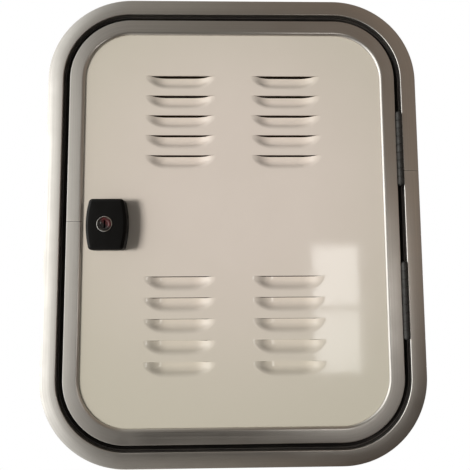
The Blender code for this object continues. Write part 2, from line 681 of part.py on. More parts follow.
def build_sleeve(chrome, steel, axis):
    """Bright sleeve through housing and panel, with its washer and nut behind the panel."""
    head_bore = PLUG_HEAD_R + SEAT
    bore = PLUG_R + SEAT
    seat = PLUG_HEAD_BACK_Y + SEAT
    profile = [(head_bore, SLEEVE_FRONT_Y + SLEEVE_EDGE / 2), (head_bore + SLEEVE_EDGE / 2, SLEEVE_FRONT_Y)]
    profile += [(SLEEVE_R - SLEEVE_EDGE, SLEEVE_FRONT_Y), (SLEEVE_R, SLEEVE_FRONT_Y + SLEEVE_EDGE)]
    profile += [(SLEEVE_R, SHOULDER_Y), (THREAD_R, SHOULDER_Y), (THREAD_R, SLEEVE_BACK)]
    profile += [(bore, SLEEVE_BACK), (bore, seat), (head_bore, seat)]
    add_piece("lock_sleeve", mesh_of("lock_sleeve", on_lock_axis(profile, closed=True), chrome), axis)
    start = PANEL_BACK + SEAT
    end = start + WASHER_T
    hole = THREAD_R + SEAT
    ring = [(hole, start), (LOCK_WASHER_R, start), (LOCK_WASHER_R, end), (hole, end)]
    add_piece("lock_washer", mesh_of("lock_washer", on_lock_axis(ring, closed=True), steel), axis)
    start = end + SEAT
    bm = bmesh.new()
    rings = []
    for i in range(LOCK_STEPS):
        turn = 2 * math.pi * i / LOCK_STEPS
        from_flat = (turn + math.pi / 6) % (math.pi / 3) - math.pi / 6
        flat = NUT_FLATS / 2 / math.cos(from_flat)
        corner = NUT_FLATS / 2 + (flat - NUT_FLATS / 2) * 0.4
        section = [(hole, start), (corner, start), (flat, start + WASHER_T / 2), (flat, start + NUT_T)]
        section += [(hole, start + NUT_T)]
        place = [(LOCK_X + r * math.cos(turn), y, MID_Z + LOCK_Z + r * math.sin(turn)) for r, y in section]
        rings.append([bm.verts.new(point) for point in place])
    join_rings(bm, rings, closed=True)
    add_piece("lock_nut", mesh_of("lock_nut", bm, steel), axis)


def build_plug(dark_metal, axis):
    screw_end = PLUG_BACK_Y - SCREW_IN_PLUG
    profile = [(0, PLUG_FRONT_Y), (PLUG_HEAD_R - EDGE_BREAK, PLUG_FRONT_Y)]
    profile += [(PLUG_HEAD_R, PLUG_FRONT_Y + EDGE_BREAK), (PLUG_HEAD_R, PLUG_HEAD_BACK_Y)]
    profile += [(PLUG_R, PLUG_HEAD_BACK_Y), (PLUG_R, PLUG_BACK_Y), (0, PLUG_BACK_Y)]
    plug = add_piece("lock_plug", mesh_of("lock_plug", on_lock_axis(profile), dark_metal), axis)
    half = PLUG_SQUARE / 2
    z = MID_Z + LOCK_Z
    low = (LOCK_X - half, PLUG_BACK_Y - SEAT, z - half)
    high = (LOCK_X + half, CAM_HUB_BACK_Y - SEAT, z + half)
    cut(plug, "plug_square", box(low, high), axis, "UNION")
    low = (LOCK_X - KEYWAY_W / 2, PLUG_FRONT_Y - SEAT, z - KEYWAY_H / 2)
    high = (LOCK_X + KEYWAY_W / 2, PLUG_FRONT_Y + KEYWAY_D, z + KEYWAY_H / 2)
    cut(plug, "keyway", box(low, high), axis)
    hole = SCREW_R + SEAT
    bore = [(0, screw_end - SEAT), (hole, screw_end - SEAT)]
    bore += [(hole, CAM_HUB_BACK_Y + SEAT), (0, CAM_HUB_BACK_Y + SEAT)]
    cut(plug, "plug_screw_hole", on_lock_axis(bore, steps=ROUND_STEPS), axis)


def build_cam(steel, axis):
    """Cranked cam, hanging down with the lock open; a quarter turn hooks it behind the ledge."""
    bm = bmesh.new()
    rings = []
    hub = CAM_W / 2
    for i in range(CAM_STEPS + 1):
        down = -hub + (hub + CAM_REACH) * (1 - math.cos(math.pi * i / CAM_STEPS)) / 2
        along = min(max((down - CAM_CRANK_START) / CAM_CRANK_L, 0), 1)
        y = CAM_HUB_Y + (CAM_TIP_Y - CAM_HUB_Y) * along * along * (3 - 2 * along)
        tip = CAM_REACH - CAM_TIP_W / 2
        if down < 0:
            half = math.sqrt(max(hub**2 - down**2, EDGE_BREAK**2))
        elif down > tip:
            half = math.sqrt(max((CAM_TIP_W / 2) ** 2 - (down - tip) ** 2, EDGE_BREAK**2))
        else:
            half = hub + (CAM_TIP_W / 2 - hub) * down / tip
        z = MID_Z + LOCK_Z - down
        corners = [(-half, 0), (half, 0), (half, CAM_T), (-half, CAM_T)]
        rings.append([bm.verts.new((LOCK_X + a, y + b, z)) for a, b in corners])
    join_rings(bm, rings, closed=False)
    cam = add_piece("lock_cam", mesh_of("lock_cam", bm, steel), axis)
    hole = PLUG_SQUARE / 2 + SEAT
    z = MID_Z + LOCK_Z
    low = (LOCK_X - hole, CAM_HUB_Y - CAM_T, z - hole)
    high = (LOCK_X + hole, CAM_HUB_BACK_Y + CAM_T, z + hole)
    cut(cam, "cam_square", box(low, high), axis)


def build_cam_screw(steel, axis):
    hole = SCREW_R + SEAT
    start = CAM_WASHER_Y
    end = start + WASHER_T
    ring = [(hole, start), (CAM_W / 2 - SEAT, start), (CAM_W / 2 - SEAT, end), (hole, end)]
    washer = on_lock_axis(ring, closed=True, steps=2 * ROUND_STEPS)
    add_piece("cam_washer", mesh_of("cam_washer", washer, steel), axis)
    top = SCREW_HEAD_Y + SCREW_HEAD_H
    tip = PLUG_BACK_Y - SCREW_IN_PLUG
    profile = [(0, tip), (SCREW_R, tip), (SCREW_R, SCREW_HEAD_Y)]
    profile += [(SCREW_HEAD_R, SCREW_HEAD_Y), (SCREW_HEAD_R, SCREW_HEAD_Y + SCREW_HEAD_H * 0.4)]
    profile += [(SCREW_HEAD_R * 0.7, SCREW_HEAD_Y + SCREW_HEAD_H * 0.85), (0, top)]
    screw = on_lock_axis(profile, steps=ROUND_STEPS)
    piece = add_piece("cam_screw", mesh_of("cam_screw", screw, steel), axis)
    z = MID_Z + LOCK_Z
    low = (LOCK_X - SCREW_HEAD_R - SEAT, top - SCREW_SLOT_D, z - SCREW_SLOT_W / 2)
    high = (LOCK_X + SCREW_HEAD_R + SEAT, top + SEAT, z + SCREW_SLOT_W / 2)
    cut(piece, "screw_slot", box(low, high), axis)


def build():
    clear_scene()
    aluminium = finish("satin_aluminium", (0.50, 0.48, 0.45), 0.38, 1.0)
    enamel = finish("white_enamel", (0.74, 0.70, 0.64), 0.18, 0.0)
    rubber = finish("black_rubber", (0.012, 0.012, 0.012), 0.75, 0.0)
    black_steel = finish("blackened_steel", (0.03, 0.029, 0.028), 0.42, 0.6)
    plastic = finish("black_plastic", (0.018, 0.018, 0.018), 0.45, 0.0)
    chrome = finish("bright_chrome", (0.75, 0.74, 0.72), 0.12, 1.0)
    dark_metal = finish("dark_plug", (0.05, 0.045, 0.045), 0.35, 0.7)
    steel = finish("zinc_plated_steel", (0.55, 0.55, 0.52), 0.35, 1.0)
    door_axis = add_axis("door_hinge_axis", (HINGE_X, HINGE_Y, MID_Z))
    lock_axis = add_axis("lock_turn_axis", (LOCK_X, 0, MID_Z + LOCK_Z), door_axis)
    build_wall_frame(aluminium)
    build_frame_joint(steel, steel)
    build_seal(rubber)
    build_door_frame(aluminium, door_axis)
    build_door_joint(steel, steel, door_axis)
    build_panel(enamel, door_axis)
    build_hinges(black_steel, door_axis)
    build_housing(plastic, door_axis)
    build_sleeve(chrome, steel, door_axis)
    build_plug(dark_metal, lock_axis)
    build_cam(steel, lock_axis)
    build_cam_screw(steel, lock_axis)


build()
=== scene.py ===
import json
import math

import bmesh
import bpy
from mathutils import Matrix, Vector


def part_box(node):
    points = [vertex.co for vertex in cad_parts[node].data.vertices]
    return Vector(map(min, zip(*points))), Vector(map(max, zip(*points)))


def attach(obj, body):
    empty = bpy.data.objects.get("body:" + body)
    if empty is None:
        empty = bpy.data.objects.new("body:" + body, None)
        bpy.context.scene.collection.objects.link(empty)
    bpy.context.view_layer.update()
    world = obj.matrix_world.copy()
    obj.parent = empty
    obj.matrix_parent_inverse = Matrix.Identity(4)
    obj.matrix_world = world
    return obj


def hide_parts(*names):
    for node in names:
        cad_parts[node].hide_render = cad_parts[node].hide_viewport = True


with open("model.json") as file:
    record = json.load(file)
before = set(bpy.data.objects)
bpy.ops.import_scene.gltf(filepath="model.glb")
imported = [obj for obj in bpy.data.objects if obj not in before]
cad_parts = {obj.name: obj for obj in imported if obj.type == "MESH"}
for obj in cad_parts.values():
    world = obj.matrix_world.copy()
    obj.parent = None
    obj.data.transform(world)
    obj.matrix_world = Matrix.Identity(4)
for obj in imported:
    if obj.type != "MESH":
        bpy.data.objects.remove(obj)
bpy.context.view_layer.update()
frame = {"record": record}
print("frame loaded")


# What several pieces share. Metres; +Y runs into the wall.
record = frame["record"]
bodyOf = {node: body for body, nodes in record["behaviour"]["bodies"].items() for node in nodes}
slotOf = {row["node"]: row["material_slot"] for row in record["subparts"]}
finishOf = {}  # material slot: material
seat = 0.0003  # clearance between pieces that touch
past = 0.001  # how far a cutter reaches past what it cuts
hairEdge = 0.0001  # roundings at the corners of profiles
fineEdge = 0.0002
softEdge = 0.0003
crease = 0.0004
rimEdge = 0.0005
crispAngle = 35  # degrees; edges sharper than this stay crisp
rivetHole = 0.0018  # radius, in frames, plates and leaves alike
ringCornerSteps = 30  # faces round each corner of the frames, the seal and the panel
ringRunSteps = 10  # faces along each straight run of the frames and the seal
shortestRun = 0.01  # anything shorter is one face of a corner
cornerRadius = 0.0856  # outside corner of the wall frame
wallLow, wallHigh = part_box("outer_frame")
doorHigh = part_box("door_frame")[1]
panelLow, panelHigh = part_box("door_panel")
housingLow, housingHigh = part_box("lock_housing")
sleeveLow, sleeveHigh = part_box("lock_sleeve")
plugLow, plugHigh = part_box("lock_plug")
midZ = (wallLow.z + wallHigh.z) / 2
cornerX = wallHigh.x - cornerRadius
cornerZ = wallHigh.z - midZ - cornerRadius
doorOut = doorHigh.x - cornerX
panelEdge = panelHigh.x - cornerX
panelFront = panelLow.y
lockCentre = (sleeveLow + sleeveHigh) / 2
housingCentre = (housingLow + housingHigh) / 2


# Mesh helpers

def meshOf(name, bm):
    mesh = bpy.data.meshes.new(name)
    bm.to_mesh(mesh)
    bm.free()
    return mesh


def placeObject(name, data):
    thing = bpy.data.objects.new(name, data)
    bpy.context.collection.objects.link(thing)
    return thing


def pieceName(node):
    first, *rest = node.split("_")
    return first + "".join(word.title() for word in rest)


def addPiece(bm, node, name=None, sharpAngle=crispAngle, smooth=True):
    # stands for one node of the frame, whose body, slot and finish it takes
    bmesh.ops.recalc_face_normals(bm, faces=bm.faces)
    mesh = meshOf(name or pieceName(node), bm)
    mesh.materials.append(finishOf[slotOf[node]])
    piece = placeObject(mesh.name, mesh)
    if smooth:
        shadeByAngle(mesh, sharpAngle)
    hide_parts(node)
    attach(piece, bodyOf[node])
    return piece


def shadeByAngle(mesh, sharpAngle):
    mesh.shade_smooth()
    mesh.set_sharp_from_angle(angle=math.radians(sharpAngle))


def carve(piece, bm, how="DIFFERENCE"):
    bmesh.ops.recalc_face_normals(bm, faces=bm.faces)
    cutter = placeObject("carving", meshOf("carving", bm))
    boolean = piece.modifiers.new("carving", "BOOLEAN")
    boolean.object = cutter
    boolean.operation = how
    boolean.solver = "EXACT"
    applyModifiers(piece)
    bpy.data.objects.remove(cutter)
    shadeByAngle(piece.data, crispAngle)


def applyModifiers(piece):
    depsgraph = bpy.context.evaluated_depsgraph_get()
    mesh = bpy.data.meshes.new_from_object(piece.evaluated_get(depsgraph))
    piece.modifiers.clear()
    piece.data = mesh


def markSharp(bm, sharpAngle):
    # keeps the flat faces flat, which shading by angle wouldn't
    for edge in bm.edges:
        if len(edge.link_faces) == 2 and edge.calc_face_angle(0) > math.radians(sharpAngle):
            edge.smooth = False


def softenEdges(piece, width, angle=40):
    bevel = piece.modifiers.new("soft edges", "BEVEL")
    bevel.width = width
    bevel.segments = 2
    bevel.limit_method = "ANGLE"
    bevel.angle_limit = math.radians(angle)
    bevel.use_clamp_overlap = True
    applyModifiers(piece)
    shadeByAngle(piece.data, angle)


def rounded(corners, steps=4, closed=True):
    # corners are (across, along, fillet radius); a fillet of 0 keeps the point as it is
    points = []
    last = len(corners) - 1
    for i, (a, b, fillet) in enumerate(corners):
        here = Vector((a, b))
        if not fillet or (not closed and i in (0, last)):
            points.append((a, b))
            continue
        toBefore = (Vector(corners[i - 1][:2]) - here).normalized()
        toAfter = (Vector(corners[(i + 1) % len(corners)][:2]) - here).normalized()
        half = toBefore.angle(toAfter) / 2
        centre = here + (toBefore + toAfter).normalized() * fillet / math.sin(half)
        start = here + toBefore * fillet / math.tan(half) - centre
        end = here + toAfter * fillet / math.tan(half) - centre
        for k in range(steps + 1):
            spoke = start.lerp(end, k / steps).normalized() * fillet
            points.append(tuple(centre + spoke))
    return points


def ringStations(cornerSteps, runSteps=1, jointSide=0, jointZ=0.0, slit=0.0):
    # corner centre and outward direction all the way round; a butt joint opens the ring on one side
    turns = []
    for sideX, sideZ, first in ((1, 1, 0), (-1, 1, 90), (-1, -1, 180), (1, -1, 270)):
        for i in range(cornerSteps + 1):
            turns.append((sideX * cornerX, sideZ * cornerZ, first + 90 * i / cornerSteps))
    if jointSide < 0:
        half = len(turns) // 2
        turns = turns[half:] + turns[:half]
    if jointSide:
        side = 0 if jointSide > 0 else 180
        turns.insert(0, (jointSide * cornerX, jointZ + jointSide * slit / 2, side))
        turns.append((jointSide * cornerX, jointZ - jointSide * slit / 2, side))
    else:
        turns.append(turns[0])
    stations = []
    for (x, z, turn), (nextX, nextZ, _) in zip(turns, turns[1:]):
        run = math.hypot(nextX - x, nextZ - z)
        steps = runSteps if run > shortestRun else 1
        for i in range(steps):
            share = (1 - math.cos(math.pi * i / steps)) / 2  # closer together towards the corners
            stations.append((x + (nextX - x) * share, z + (nextZ - z) * share, turn))
    if jointSide:
        stations.append(turns[-1])
    return stations


def onRing(station, radius, y):
    x, z, turn = station
    out = math.radians(turn)
    return Vector((x + radius * math.cos(out), y, midZ + z + radius * math.sin(out)))


def sweepRing(profile, jointSide=0, jointZ=0.0, slit=0.0):
    # The UV runs across the profile and along the ring, in metres, for the drawn lines.
    bm = bmesh.new()
    uvLayer = bm.loops.layers.uv.new("drawn")
    stations = ringStations(ringCornerSteps, ringRunSteps, jointSide, jointZ, slit)
    rings = [[bm.verts.new(onRing(station, r, y)) for r, y in profile] for station in stations]
    count = len(profile)
    across = [0.0]
    for j in range(count):
        across.append(across[-1] + math.dist(profile[j], profile[(j + 1) % count]))
    pairs = list(zip(rings, rings[1:]))
    if not jointSide:
        pairs.append((rings[-1], rings[0]))
    along = 0.0
    for near, far in pairs:
        step = (far[0].co - near[0].co).length
        for j in range(count):
            k = (j + 1) % count
            face = bm.faces.new((near[j], near[k], far[k], far[j]))
            places = ((across[j], along), (across[j + 1], along),
                      (across[j + 1], along + step), (across[j], along + step))
            for loop, place in zip(face.loops, places):
                loop[uvLayer].uv = place
        along += step
    if jointSide:
        bm.faces.new(rings[0])
        bm.faces.new(list(reversed(rings[-1])))
    return bm


def joinRings(bm, rings, closed=False):
    # faces from each ring to the next; an open row of rings is capped at both ends
    pairs = list(zip(rings, rings[1:]))
    if closed:
        pairs.append((rings[-1], rings[0]))
    for near, far in pairs:
        for i in range(len(near)):
            j = (i + 1) % len(near)
            bm.faces.new((near[i], near[j], far[j], far[i]))
    if not closed:
        bm.faces.new(rings[0])
        bm.faces.new(rings[-1][::-1])


def revolve(profile, axis, centre, steps, thread=None):
    # profile is (radius, place along the axis); from pole to pole when it starts on the axis
    bm = bmesh.new()

    def at(radius, along, turn):
        if thread and thread["start"] < along < thread["end"] and radius > thread["inside"]:
            phase = 2 * math.pi * along / thread["pitch"] - turn
            radius -= thread["depth"] * (0.5 + 0.5 * math.cos(phase))
        a = radius * math.cos(turn)
        b = radius * math.sin(turn)
        if axis == "X":
            return (along, centre.y + a, centre.z + b)
        if axis == "Y":
            return (centre.x + a, along, centre.z + b)
        return (centre.x + a, centre.y + b, along)

    def ringsOf(points):
        turns = [2 * math.pi * i / steps for i in range(steps)]
        return [[bm.verts.new(at(radius, along, turn)) for radius, along in points] for turn in turns]

    if profile[0][0] > 0:
        joinRings(bm, ringsOf(profile), closed=True)
        return bm
    rings = ringsOf(profile[1:-1])
    start, end = [bm.verts.new(at(0, profile[i][1], 0)) for i in (0, -1)]
    for near, far in zip(rings, rings[1:] + rings[:1]):
        for i in range(len(near) - 1):
            bm.faces.new((near[i], near[i + 1], far[i + 1], far[i]))
        bm.faces.new((start, near[0], far[0]))
        bm.faces.new((end, far[-1], near[-1]))
    return bm


def solidBox(low, high):
    bm = bmesh.new()
    bmesh.ops.create_cube(bm, size=1)
    middle = (Vector(low) + Vector(high)) / 2
    size = Vector(high) - Vector(low)
    for vert in bm.verts:
        vert.co = Vector((vert.co.x * size.x, vert.co.y * size.y, vert.co.z * size.z)) + middle
    return bm


def drills(direction, places, radius, length, steps=24):
    bm = bmesh.new()
    for place in places:
        turn = Matrix.Rotation(math.pi / 2, 4, "Y") if direction == "X" else Matrix.Identity(4)
        bmesh.ops.create_cone(bm, cap_ends=True, segments=steps, radius1=radius, radius2=radius,
                              depth=length, matrix=Matrix.Translation(place) @ turn)
    return bm


def smoothStep(value, start, end):
    share = min(max((value - start) / (end - start), 0), 1)
    return share * share * (3 - 2 * share)


# Camera, at the photograph's viewing angle

cameraView = {
    "place": (-0.00944, -0.4830, 0.1733),
    "turn": (5.296, 0.350, -1.240),  # degrees: nose up, roll, swing to the right
    "focalPixels": 480,
    "framePixels": 470,
    "sensor": 36.0,
    "nearest": 0.01,
}


def placeCamera():
    data = bpy.data.cameras.new("camera")
    data.sensor_width = cameraView["sensor"]
    data.lens = cameraView["sensor"] * cameraView["focalPixels"] / cameraView["framePixels"]
    data.clip_start = cameraView["nearest"]
    camera = placeObject("camera", data)
    up, roll, swing = (math.radians(angle) for angle in cameraView["turn"])
    turned = Matrix.Rotation(swing, 3, "Z") @ Matrix.Rotation(up, 3, "X") @ Matrix.Rotation(roll, 3, "Y")
    right, ahead, over = turned.col
    axes = Matrix((right, over, -ahead)).transposed().to_4x4()
    camera.matrix_world = Matrix.Translation(cameraView["place"]) @ axes
    bpy.context.scene.camera = camera


placeCamera()
print("camera placed")


# Node helpers

def nodeOf(tree, kind, **settings):
    node = tree.nodes.new(kind)
    for key, value in settings.items():
        setattr(node, key, value)
    return node


def feed(tree, socket, value):
    if isinstance(value, bpy.types.NodeSocket):
        tree.links.new(value, socket)
    else:
        socket.default_value = value


def sums(tree, operation, *values):
    node = nodeOf(tree, "ShaderNodeMath", operation=operation)
    for socket, value in zip(node.inputs, values):
        feed(tree, socket, value)
    return node.outputs[0]


def vectorSum(tree, operation, *values):
    node = nodeOf(tree, "ShaderNodeVectorMath", operation=operation)
    for socket, value in zip(node.inputs, values):
        feed(tree, socket, value)
    return node.outputs["Value" if operation in ("DOT_PRODUCT", "LENGTH") else "Vector"]


def spread(tree, value, fromLow, fromHigh, toLow=0.0, toHigh=1.0, smooth=True):
    node = nodeOf(tree, "ShaderNodeMapRange", interpolation_type="SMOOTHSTEP" if smooth else "LINEAR")
    for socket, part in zip(node.inputs, (value, fromLow, fromHigh, toLow, toHigh)):
        feed(tree, socket, part)
    return node.outputs["Result"]


def blendColours(tree, factor, first, second):
    node = nodeOf(tree, "ShaderNodeMix", data_type="RGBA")
    for name, value in (("Factor_Float", factor), ("A_Color", first), ("B_Color", second)):
        socket = next(s for s in node.inputs if s.identifier == name)
        if not isinstance(value, (float, int, bpy.types.NodeSocket)):
            value = (*value, 1)
        feed(tree, socket, value)
    return next(s for s in node.outputs if s.identifier == "Result_Color")


def noiseOf(tree, vector, scale, detail=3.0, roughness=0.5):
    node = nodeOf(tree, "ShaderNodeTexNoise")
    feed(tree, node.inputs["Vector"], vector)
    feed(tree, node.inputs["Scale"], scale)
    node.inputs["Detail"].default_value = detail
    node.inputs["Roughness"].default_value = roughness
    return node.outputs[0]


def stopsOf(tree, factor, stops):
    # stops are (place, colour), their colours at most 1
    ramp = nodeOf(tree, "ShaderNodeValToRGB")
    feed(tree, ramp.inputs[0], factor)
    while len(ramp.color_ramp.elements) < len(stops):
        ramp.color_ramp.elements.new(0.5)
    for element, (place, colour) in zip(ramp.color_ramp.elements, stops):
        element.position = place
        element.color = (*colour, 1)
    return ramp.outputs[0]


def newGroup(name, inputs, outputs):
    # inputs and outputs are (name, socket kind, default)
    group = bpy.data.node_groups.new(name, "ShaderNodeTree")
    for title, kind, default in inputs:
        socket = group.interface.new_socket(title, in_out="INPUT", socket_type="NodeSocket" + kind)
        if default is not None:
            socket.default_value = default
    for title, kind in outputs:
        group.interface.new_socket(title, in_out="OUTPUT", socket_type="NodeSocket" + kind)
    start = group.nodes.new("NodeGroupInput")
    end = group.nodes.new("NodeGroupOutput")
    return group, start.outputs, end.inputs


def placeGroup(tree, group, **values):
    node = nodeOf(tree, "ShaderNodeGroup", node_tree=group)
    for title, value in values.items():
        socket = node.inputs[title]
        if isinstance(value, tuple) and len(value) == 3 and socket.type == "RGBA":
            value = (*value, 1)
        feed(tree, socket, value)
    return node.outputs


def mixShaders(tree, factor, first, second):
    mix = nodeOf(tree, "ShaderNodeMixShader")
    for socket, value in zip(mix.inputs, (factor, first, second)):
        feed(tree, socket, value)
    return mix.outputs[0]


# Shared effects

def drawnLinesGroup():
    # fine lines left by drawing and brushing along a run: broad and narrow together
    group, given, made = newGroup(
        "drawnLines",
        [("Run", "Vector", None), ("FineWidth", "Float", 0.0008), ("BroadWidth", "Float", 0.0024),
         ("Length", "Float", 0.25), ("Fine", "Float", 0.6)],
        [("Lines", "Float")])
    layers = []
    for width in ("FineWidth", "BroadWidth"):
        stretch = nodeOf(group, "ShaderNodeCombineXYZ")
        for socket, size in zip(stretch.inputs, (width, "Length")):
            feed(group, socket, sums(group, "DIVIDE", 1.0, given[size]))
        place = vectorSum(group, "MULTIPLY", given["Run"], stretch.outputs[0])
        layers.append(noiseOf(group, place, 1.0, 2.0))
    fine, broad = layers
    lines = nodeOf(group, "ShaderNodeMix", data_type="FLOAT")
    feed(group, lines.inputs[0], given["Fine"])
    feed(group, lines.inputs[2], broad)
    feed(group, lines.inputs[3], fine)
    feed(group, made["Lines"], lines.outputs[0])
    return group


def cloudsGroup():
    # slow uneven patches, for colour and gloss that aren't the same all over
    group, given, made = newGroup(
        "clouds",
        [("Place", "Vector", None), ("Size", "Float", 0.05), ("Low", "Float", 0.0), ("High", "Float", 1.0)],
        [("Value", "Float")])
    scale = sums(group, "DIVIDE", 1.0, given["Size"])
    cloud = noiseOf(group, given["Place"], scale, 4.0, 0.55)
    feed(group, made["Value"], spread(group, cloud, 0.3, 0.7, given["Low"], given["High"]))
    return group


def speckleGroup():
    # height of the fine grain on a moulded or cast skin
    group, given, made = newGroup(
        "speckle", [("Place", "Vector", None), ("Size", "Float", 0.0004)], [("Height", "Float")])
    scale = sums(group, "DIVIDE", 1.0, given["Size"])
    cells = nodeOf(group, "ShaderNodeTexVoronoi", feature="SMOOTH_F1")
    feed(group, cells.inputs["Vector"], given["Place"])
    feed(group, cells.inputs["Scale"], scale)
    fine = noiseOf(group, given["Place"], scale, 2.0)
    feed(group, made["Height"], sums(group, "MULTIPLY_ADD", fine, 0.5, cells.outputs["Distance"]))
    return group


def edgeGlintGroup():
    # rubbed outer edges, a little uneven along their length
    group, given, made = newGroup(
        "edgeGlint",
        [("Place", "Vector", None), ("Start", "Float", 0.52), ("End", "Float", 0.60),
         ("Amount", "Float", 0.5)],
        [("Mask", "Float")])
    geometry = nodeOf(group, "ShaderNodeNewGeometry")
    edge = spread(group, geometry.outputs["Pointiness"], given["Start"], given["End"])
    uneven = spread(group, noiseOf(group, given["Place"], 260.0, 3.0), 0.3, 0.7, 0.6, 1.0)
    glint = sums(group, "MULTIPLY", edge, uneven)
    feed(group, made["Mask"], sums(group, "MULTIPLY", glint, given["Amount"]))
    return group


drawnLines = drawnLinesGroup()
clouds = cloudsGroup()
speckle = speckleGroup()
edgeGlint = edgeGlintGroup()
print("shared effects built")


# Materials

def newMaterial(name, **constants):
    material = bpy.data.materials.new(name)
    material.use_nodes = True
    tree = material.node_tree
    shader = tree.nodes["Principled BSDF"]
    for title, value in constants.items():
        shader.inputs[title].default_value = value
    place = nodeOf(tree, "ShaderNodeTexCoord").outputs["Object"]
    return material, tree, shader, place


def dress(tree, shader, colour, rough, height=None, depth=0.0):
    feed(tree, shader.inputs["Base Color"], colour)
    feed(tree, shader.inputs["Roughness"], rough)
    if height is not None:
        bump = nodeOf(tree, "ShaderNodeBump")
        bump.inputs["Distance"].default_value = depth
        feed(tree, bump.inputs["Height"], height)
        feed(tree, shader.inputs["Normal"], bump.outputs[0])


# The two frames' own sizes: their finish paints shade into the butt joints

wallFrameLook = {
    "flangeWidth": 0.0162,
    "faceHeight": 0.0031,
    "fall": 0.0023,
    "camber": 1.8,  # power of the fall
    "edgeFacet": (0.00055, 0.00040),  # its width and fall, at the inner edge
    "webThickness": 0.0018,
    "ledgeWidth": 0.010,
    "ledgeFront": 0.0140,
    "ledgeThickness": 0.0016,
    "jointZ": 0.0545,
    "jointSlit": 0.0002,
    "fixingRadius": 0.0019,
    "fixingSideInset": 0.0115,  # from the ends of the straight runs
    "fixingEndInset": 0.035,
}

doorFrameLook = {
    "flangeWidth": 0.0152,
    "faceHeight": 0.0033,
    "fall": 0.0004,
    "camber": 2.0,
    "lipWidth": 0.0030,
    "flangeThickness": 0.0018,
    "webThickness": 0.0015,
    "legThickness": 0.0013,
    "footThickness": 0.0012,
    "footShort": 0.0010,
    "panelThickness": 0.0012,
    "jointZ": 0.0030,
    "jointSlit": 0.0002,
}

satinLook = {
    "colour": (0.64, 0.61, 0.575),
    "bandColour": (0.46, 0.435, 0.405),
    "rubbed": (0.80, 0.7625, 0.71875),
    "rubbedShare": 0.5,
    "roughLow": 0.30,
    "roughHigh": 0.38,
    "anisotropy": 0.48,
    "lineGain": 1.6,  # contrast of the drawn lines
    "lineShift": -0.3,
    "lineShare": 0.8,  # the rest is patches
    "lineDepth": 0.000003,
    "patchSize": 0.03,
    "jointShadeColour": (0.012, 0.011, 0.010),
    "jointShadeReach": (0.00014, 0.000224),  # full dark up to the first, none from the second
}


def satinAluminium():
    look = satinLook
    values = {"Metallic": 1.0, "Anisotropic": look["anisotropy"]}
    material, tree, shader, place = newMaterial("satinAluminium", **values)
    run = nodeOf(tree, "ShaderNodeUVMap", uv_map="drawn").outputs[0]
    tangent = nodeOf(tree, "ShaderNodeTangent", direction_type="UV_MAP", uv_map="drawn")
    feed(tree, shader.inputs["Tangent"], tangent.outputs[0])
    lines = placeGroup(tree, drawnLines, Run=run)["Lines"]
    patches = placeGroup(tree, clouds, Place=place, Size=look["patchSize"])["Value"]
    glint = placeGroup(tree, edgeGlint, Place=place, Amount=look["rubbedShare"])["Mask"]
    streaks = sums(tree, "MULTIPLY_ADD", lines, look["lineGain"], look["lineShift"])
    patches = sums(tree, "MULTIPLY", patches, 1 - look["lineShare"])
    mixed = sums(tree, "MULTIPLY_ADD", streaks, look["lineShare"], patches)
    colour = blendColours(tree, mixed, look["bandColour"], look["colour"])
    colour = blendColours(tree, glint, colour, look["rubbed"])
    # painted shade in the butt joints' slits, dark and without gloss
    jointShadeMask = jointShade(tree, place)
    colour = blendColours(tree, jointShadeMask, colour, look["jointShadeColour"])
    rough = spread(tree, mixed, 0.3, 0.7, look["roughHigh"], look["roughLow"])
    dress(tree, shader, colour, sums(tree, "MAXIMUM", rough, jointShadeMask), lines, look["lineDepth"])
    return material


def jointShade(tree, place):
    # painted shade in the slits between the butted ends: the wall frame's on the right, the door frame's on
    # the left
    axes = nodeOf(tree, "ShaderNodeSeparateXYZ")
    feed(tree, axes.inputs[0], place)
    masks = []
    wallEdge = cornerX + cornerRadius - wallFrameLook["flangeWidth"]
    for side, jointZ, start, end in ((1, wallFrameLook["jointZ"], wallEdge - seat, wallHigh.x),
                                     (-1, doorFrameLook["jointZ"], cornerX, wallEdge - seat)):
        fromJoint = sums(tree, "ABSOLUTE", sums(tree, "SUBTRACT", axes.outputs[2], midZ + jointZ))
        near = spread(tree, fromJoint, *satinLook["jointShadeReach"], 1.0, 0.0)
        out = sums(tree, "MULTIPLY", axes.outputs[0], float(side))
        onFlange = sums(tree, "MULTIPLY", sums(tree, "GREATER_THAN", out, start),
                        sums(tree, "LESS_THAN", out, end))
        masks.append(sums(tree, "MULTIPLY", near, onFlange))
    return sums(tree, "MAXIMUM", *masks)


enamelLook = {
    "colour": (0.650, 0.580, 0.522),
    "shade": (0.632, 0.562, 0.504),
    "patchSize": 0.11,
    "film": (0.530, 0.498, 0.415),  # painted shade: the sheet darker towards the rim and the foot, brightest in the middle
    "brightestMiddle": (0.01, 0.0, 0.27),
    "edgeShadeReach": (0.05, 0.27),  # metres from the brightest middle: no painted shade, full
    "roughLow": 0.055,
    "roughHigh": 0.085,
    "smearSize": 0.025,
    "peelSize": 0.0045,
    "peelShare": 0.10,
    "rippleSize": 0.015,
    "rippleDepth": 0.000032,
}


def whiteEnamel():
    look = enamelLook
    material, tree, shader, place = newMaterial("whiteEnamel", IOR=1.5)
    patches = placeGroup(tree, clouds, Place=place, Size=look["patchSize"])["Value"]
    smears = placeGroup(tree, clouds, Place=place, Size=look["smearSize"], Low=look["roughLow"],
                        High=look["roughHigh"])["Value"]
    colour = blendColours(tree, patches, look["shade"], look["colour"])
    fromMiddle = vectorSum(tree, "LENGTH", vectorSum(tree, "SUBTRACT", place, look["brightestMiddle"]))
    # painted shade, darker away from the middle
    colour = blendColours(tree, spread(tree, fromMiddle, *look["edgeShadeReach"]), colour, look["film"])
    peel = noiseOf(tree, place, 1 / look["peelSize"], 2.0)
    ripple = noiseOf(tree, place, 1 / look["rippleSize"], 1.0)
    height = sums(tree, "MULTIPLY_ADD", peel, look["peelShare"], ripple)
    dress(tree, shader, colour, smears, height, look["rippleDepth"])
    return material


# Finishes with uneven patches, a fine grain and mostly rubbed edges. Where a look has two values,
# the patches go from the first to the second.

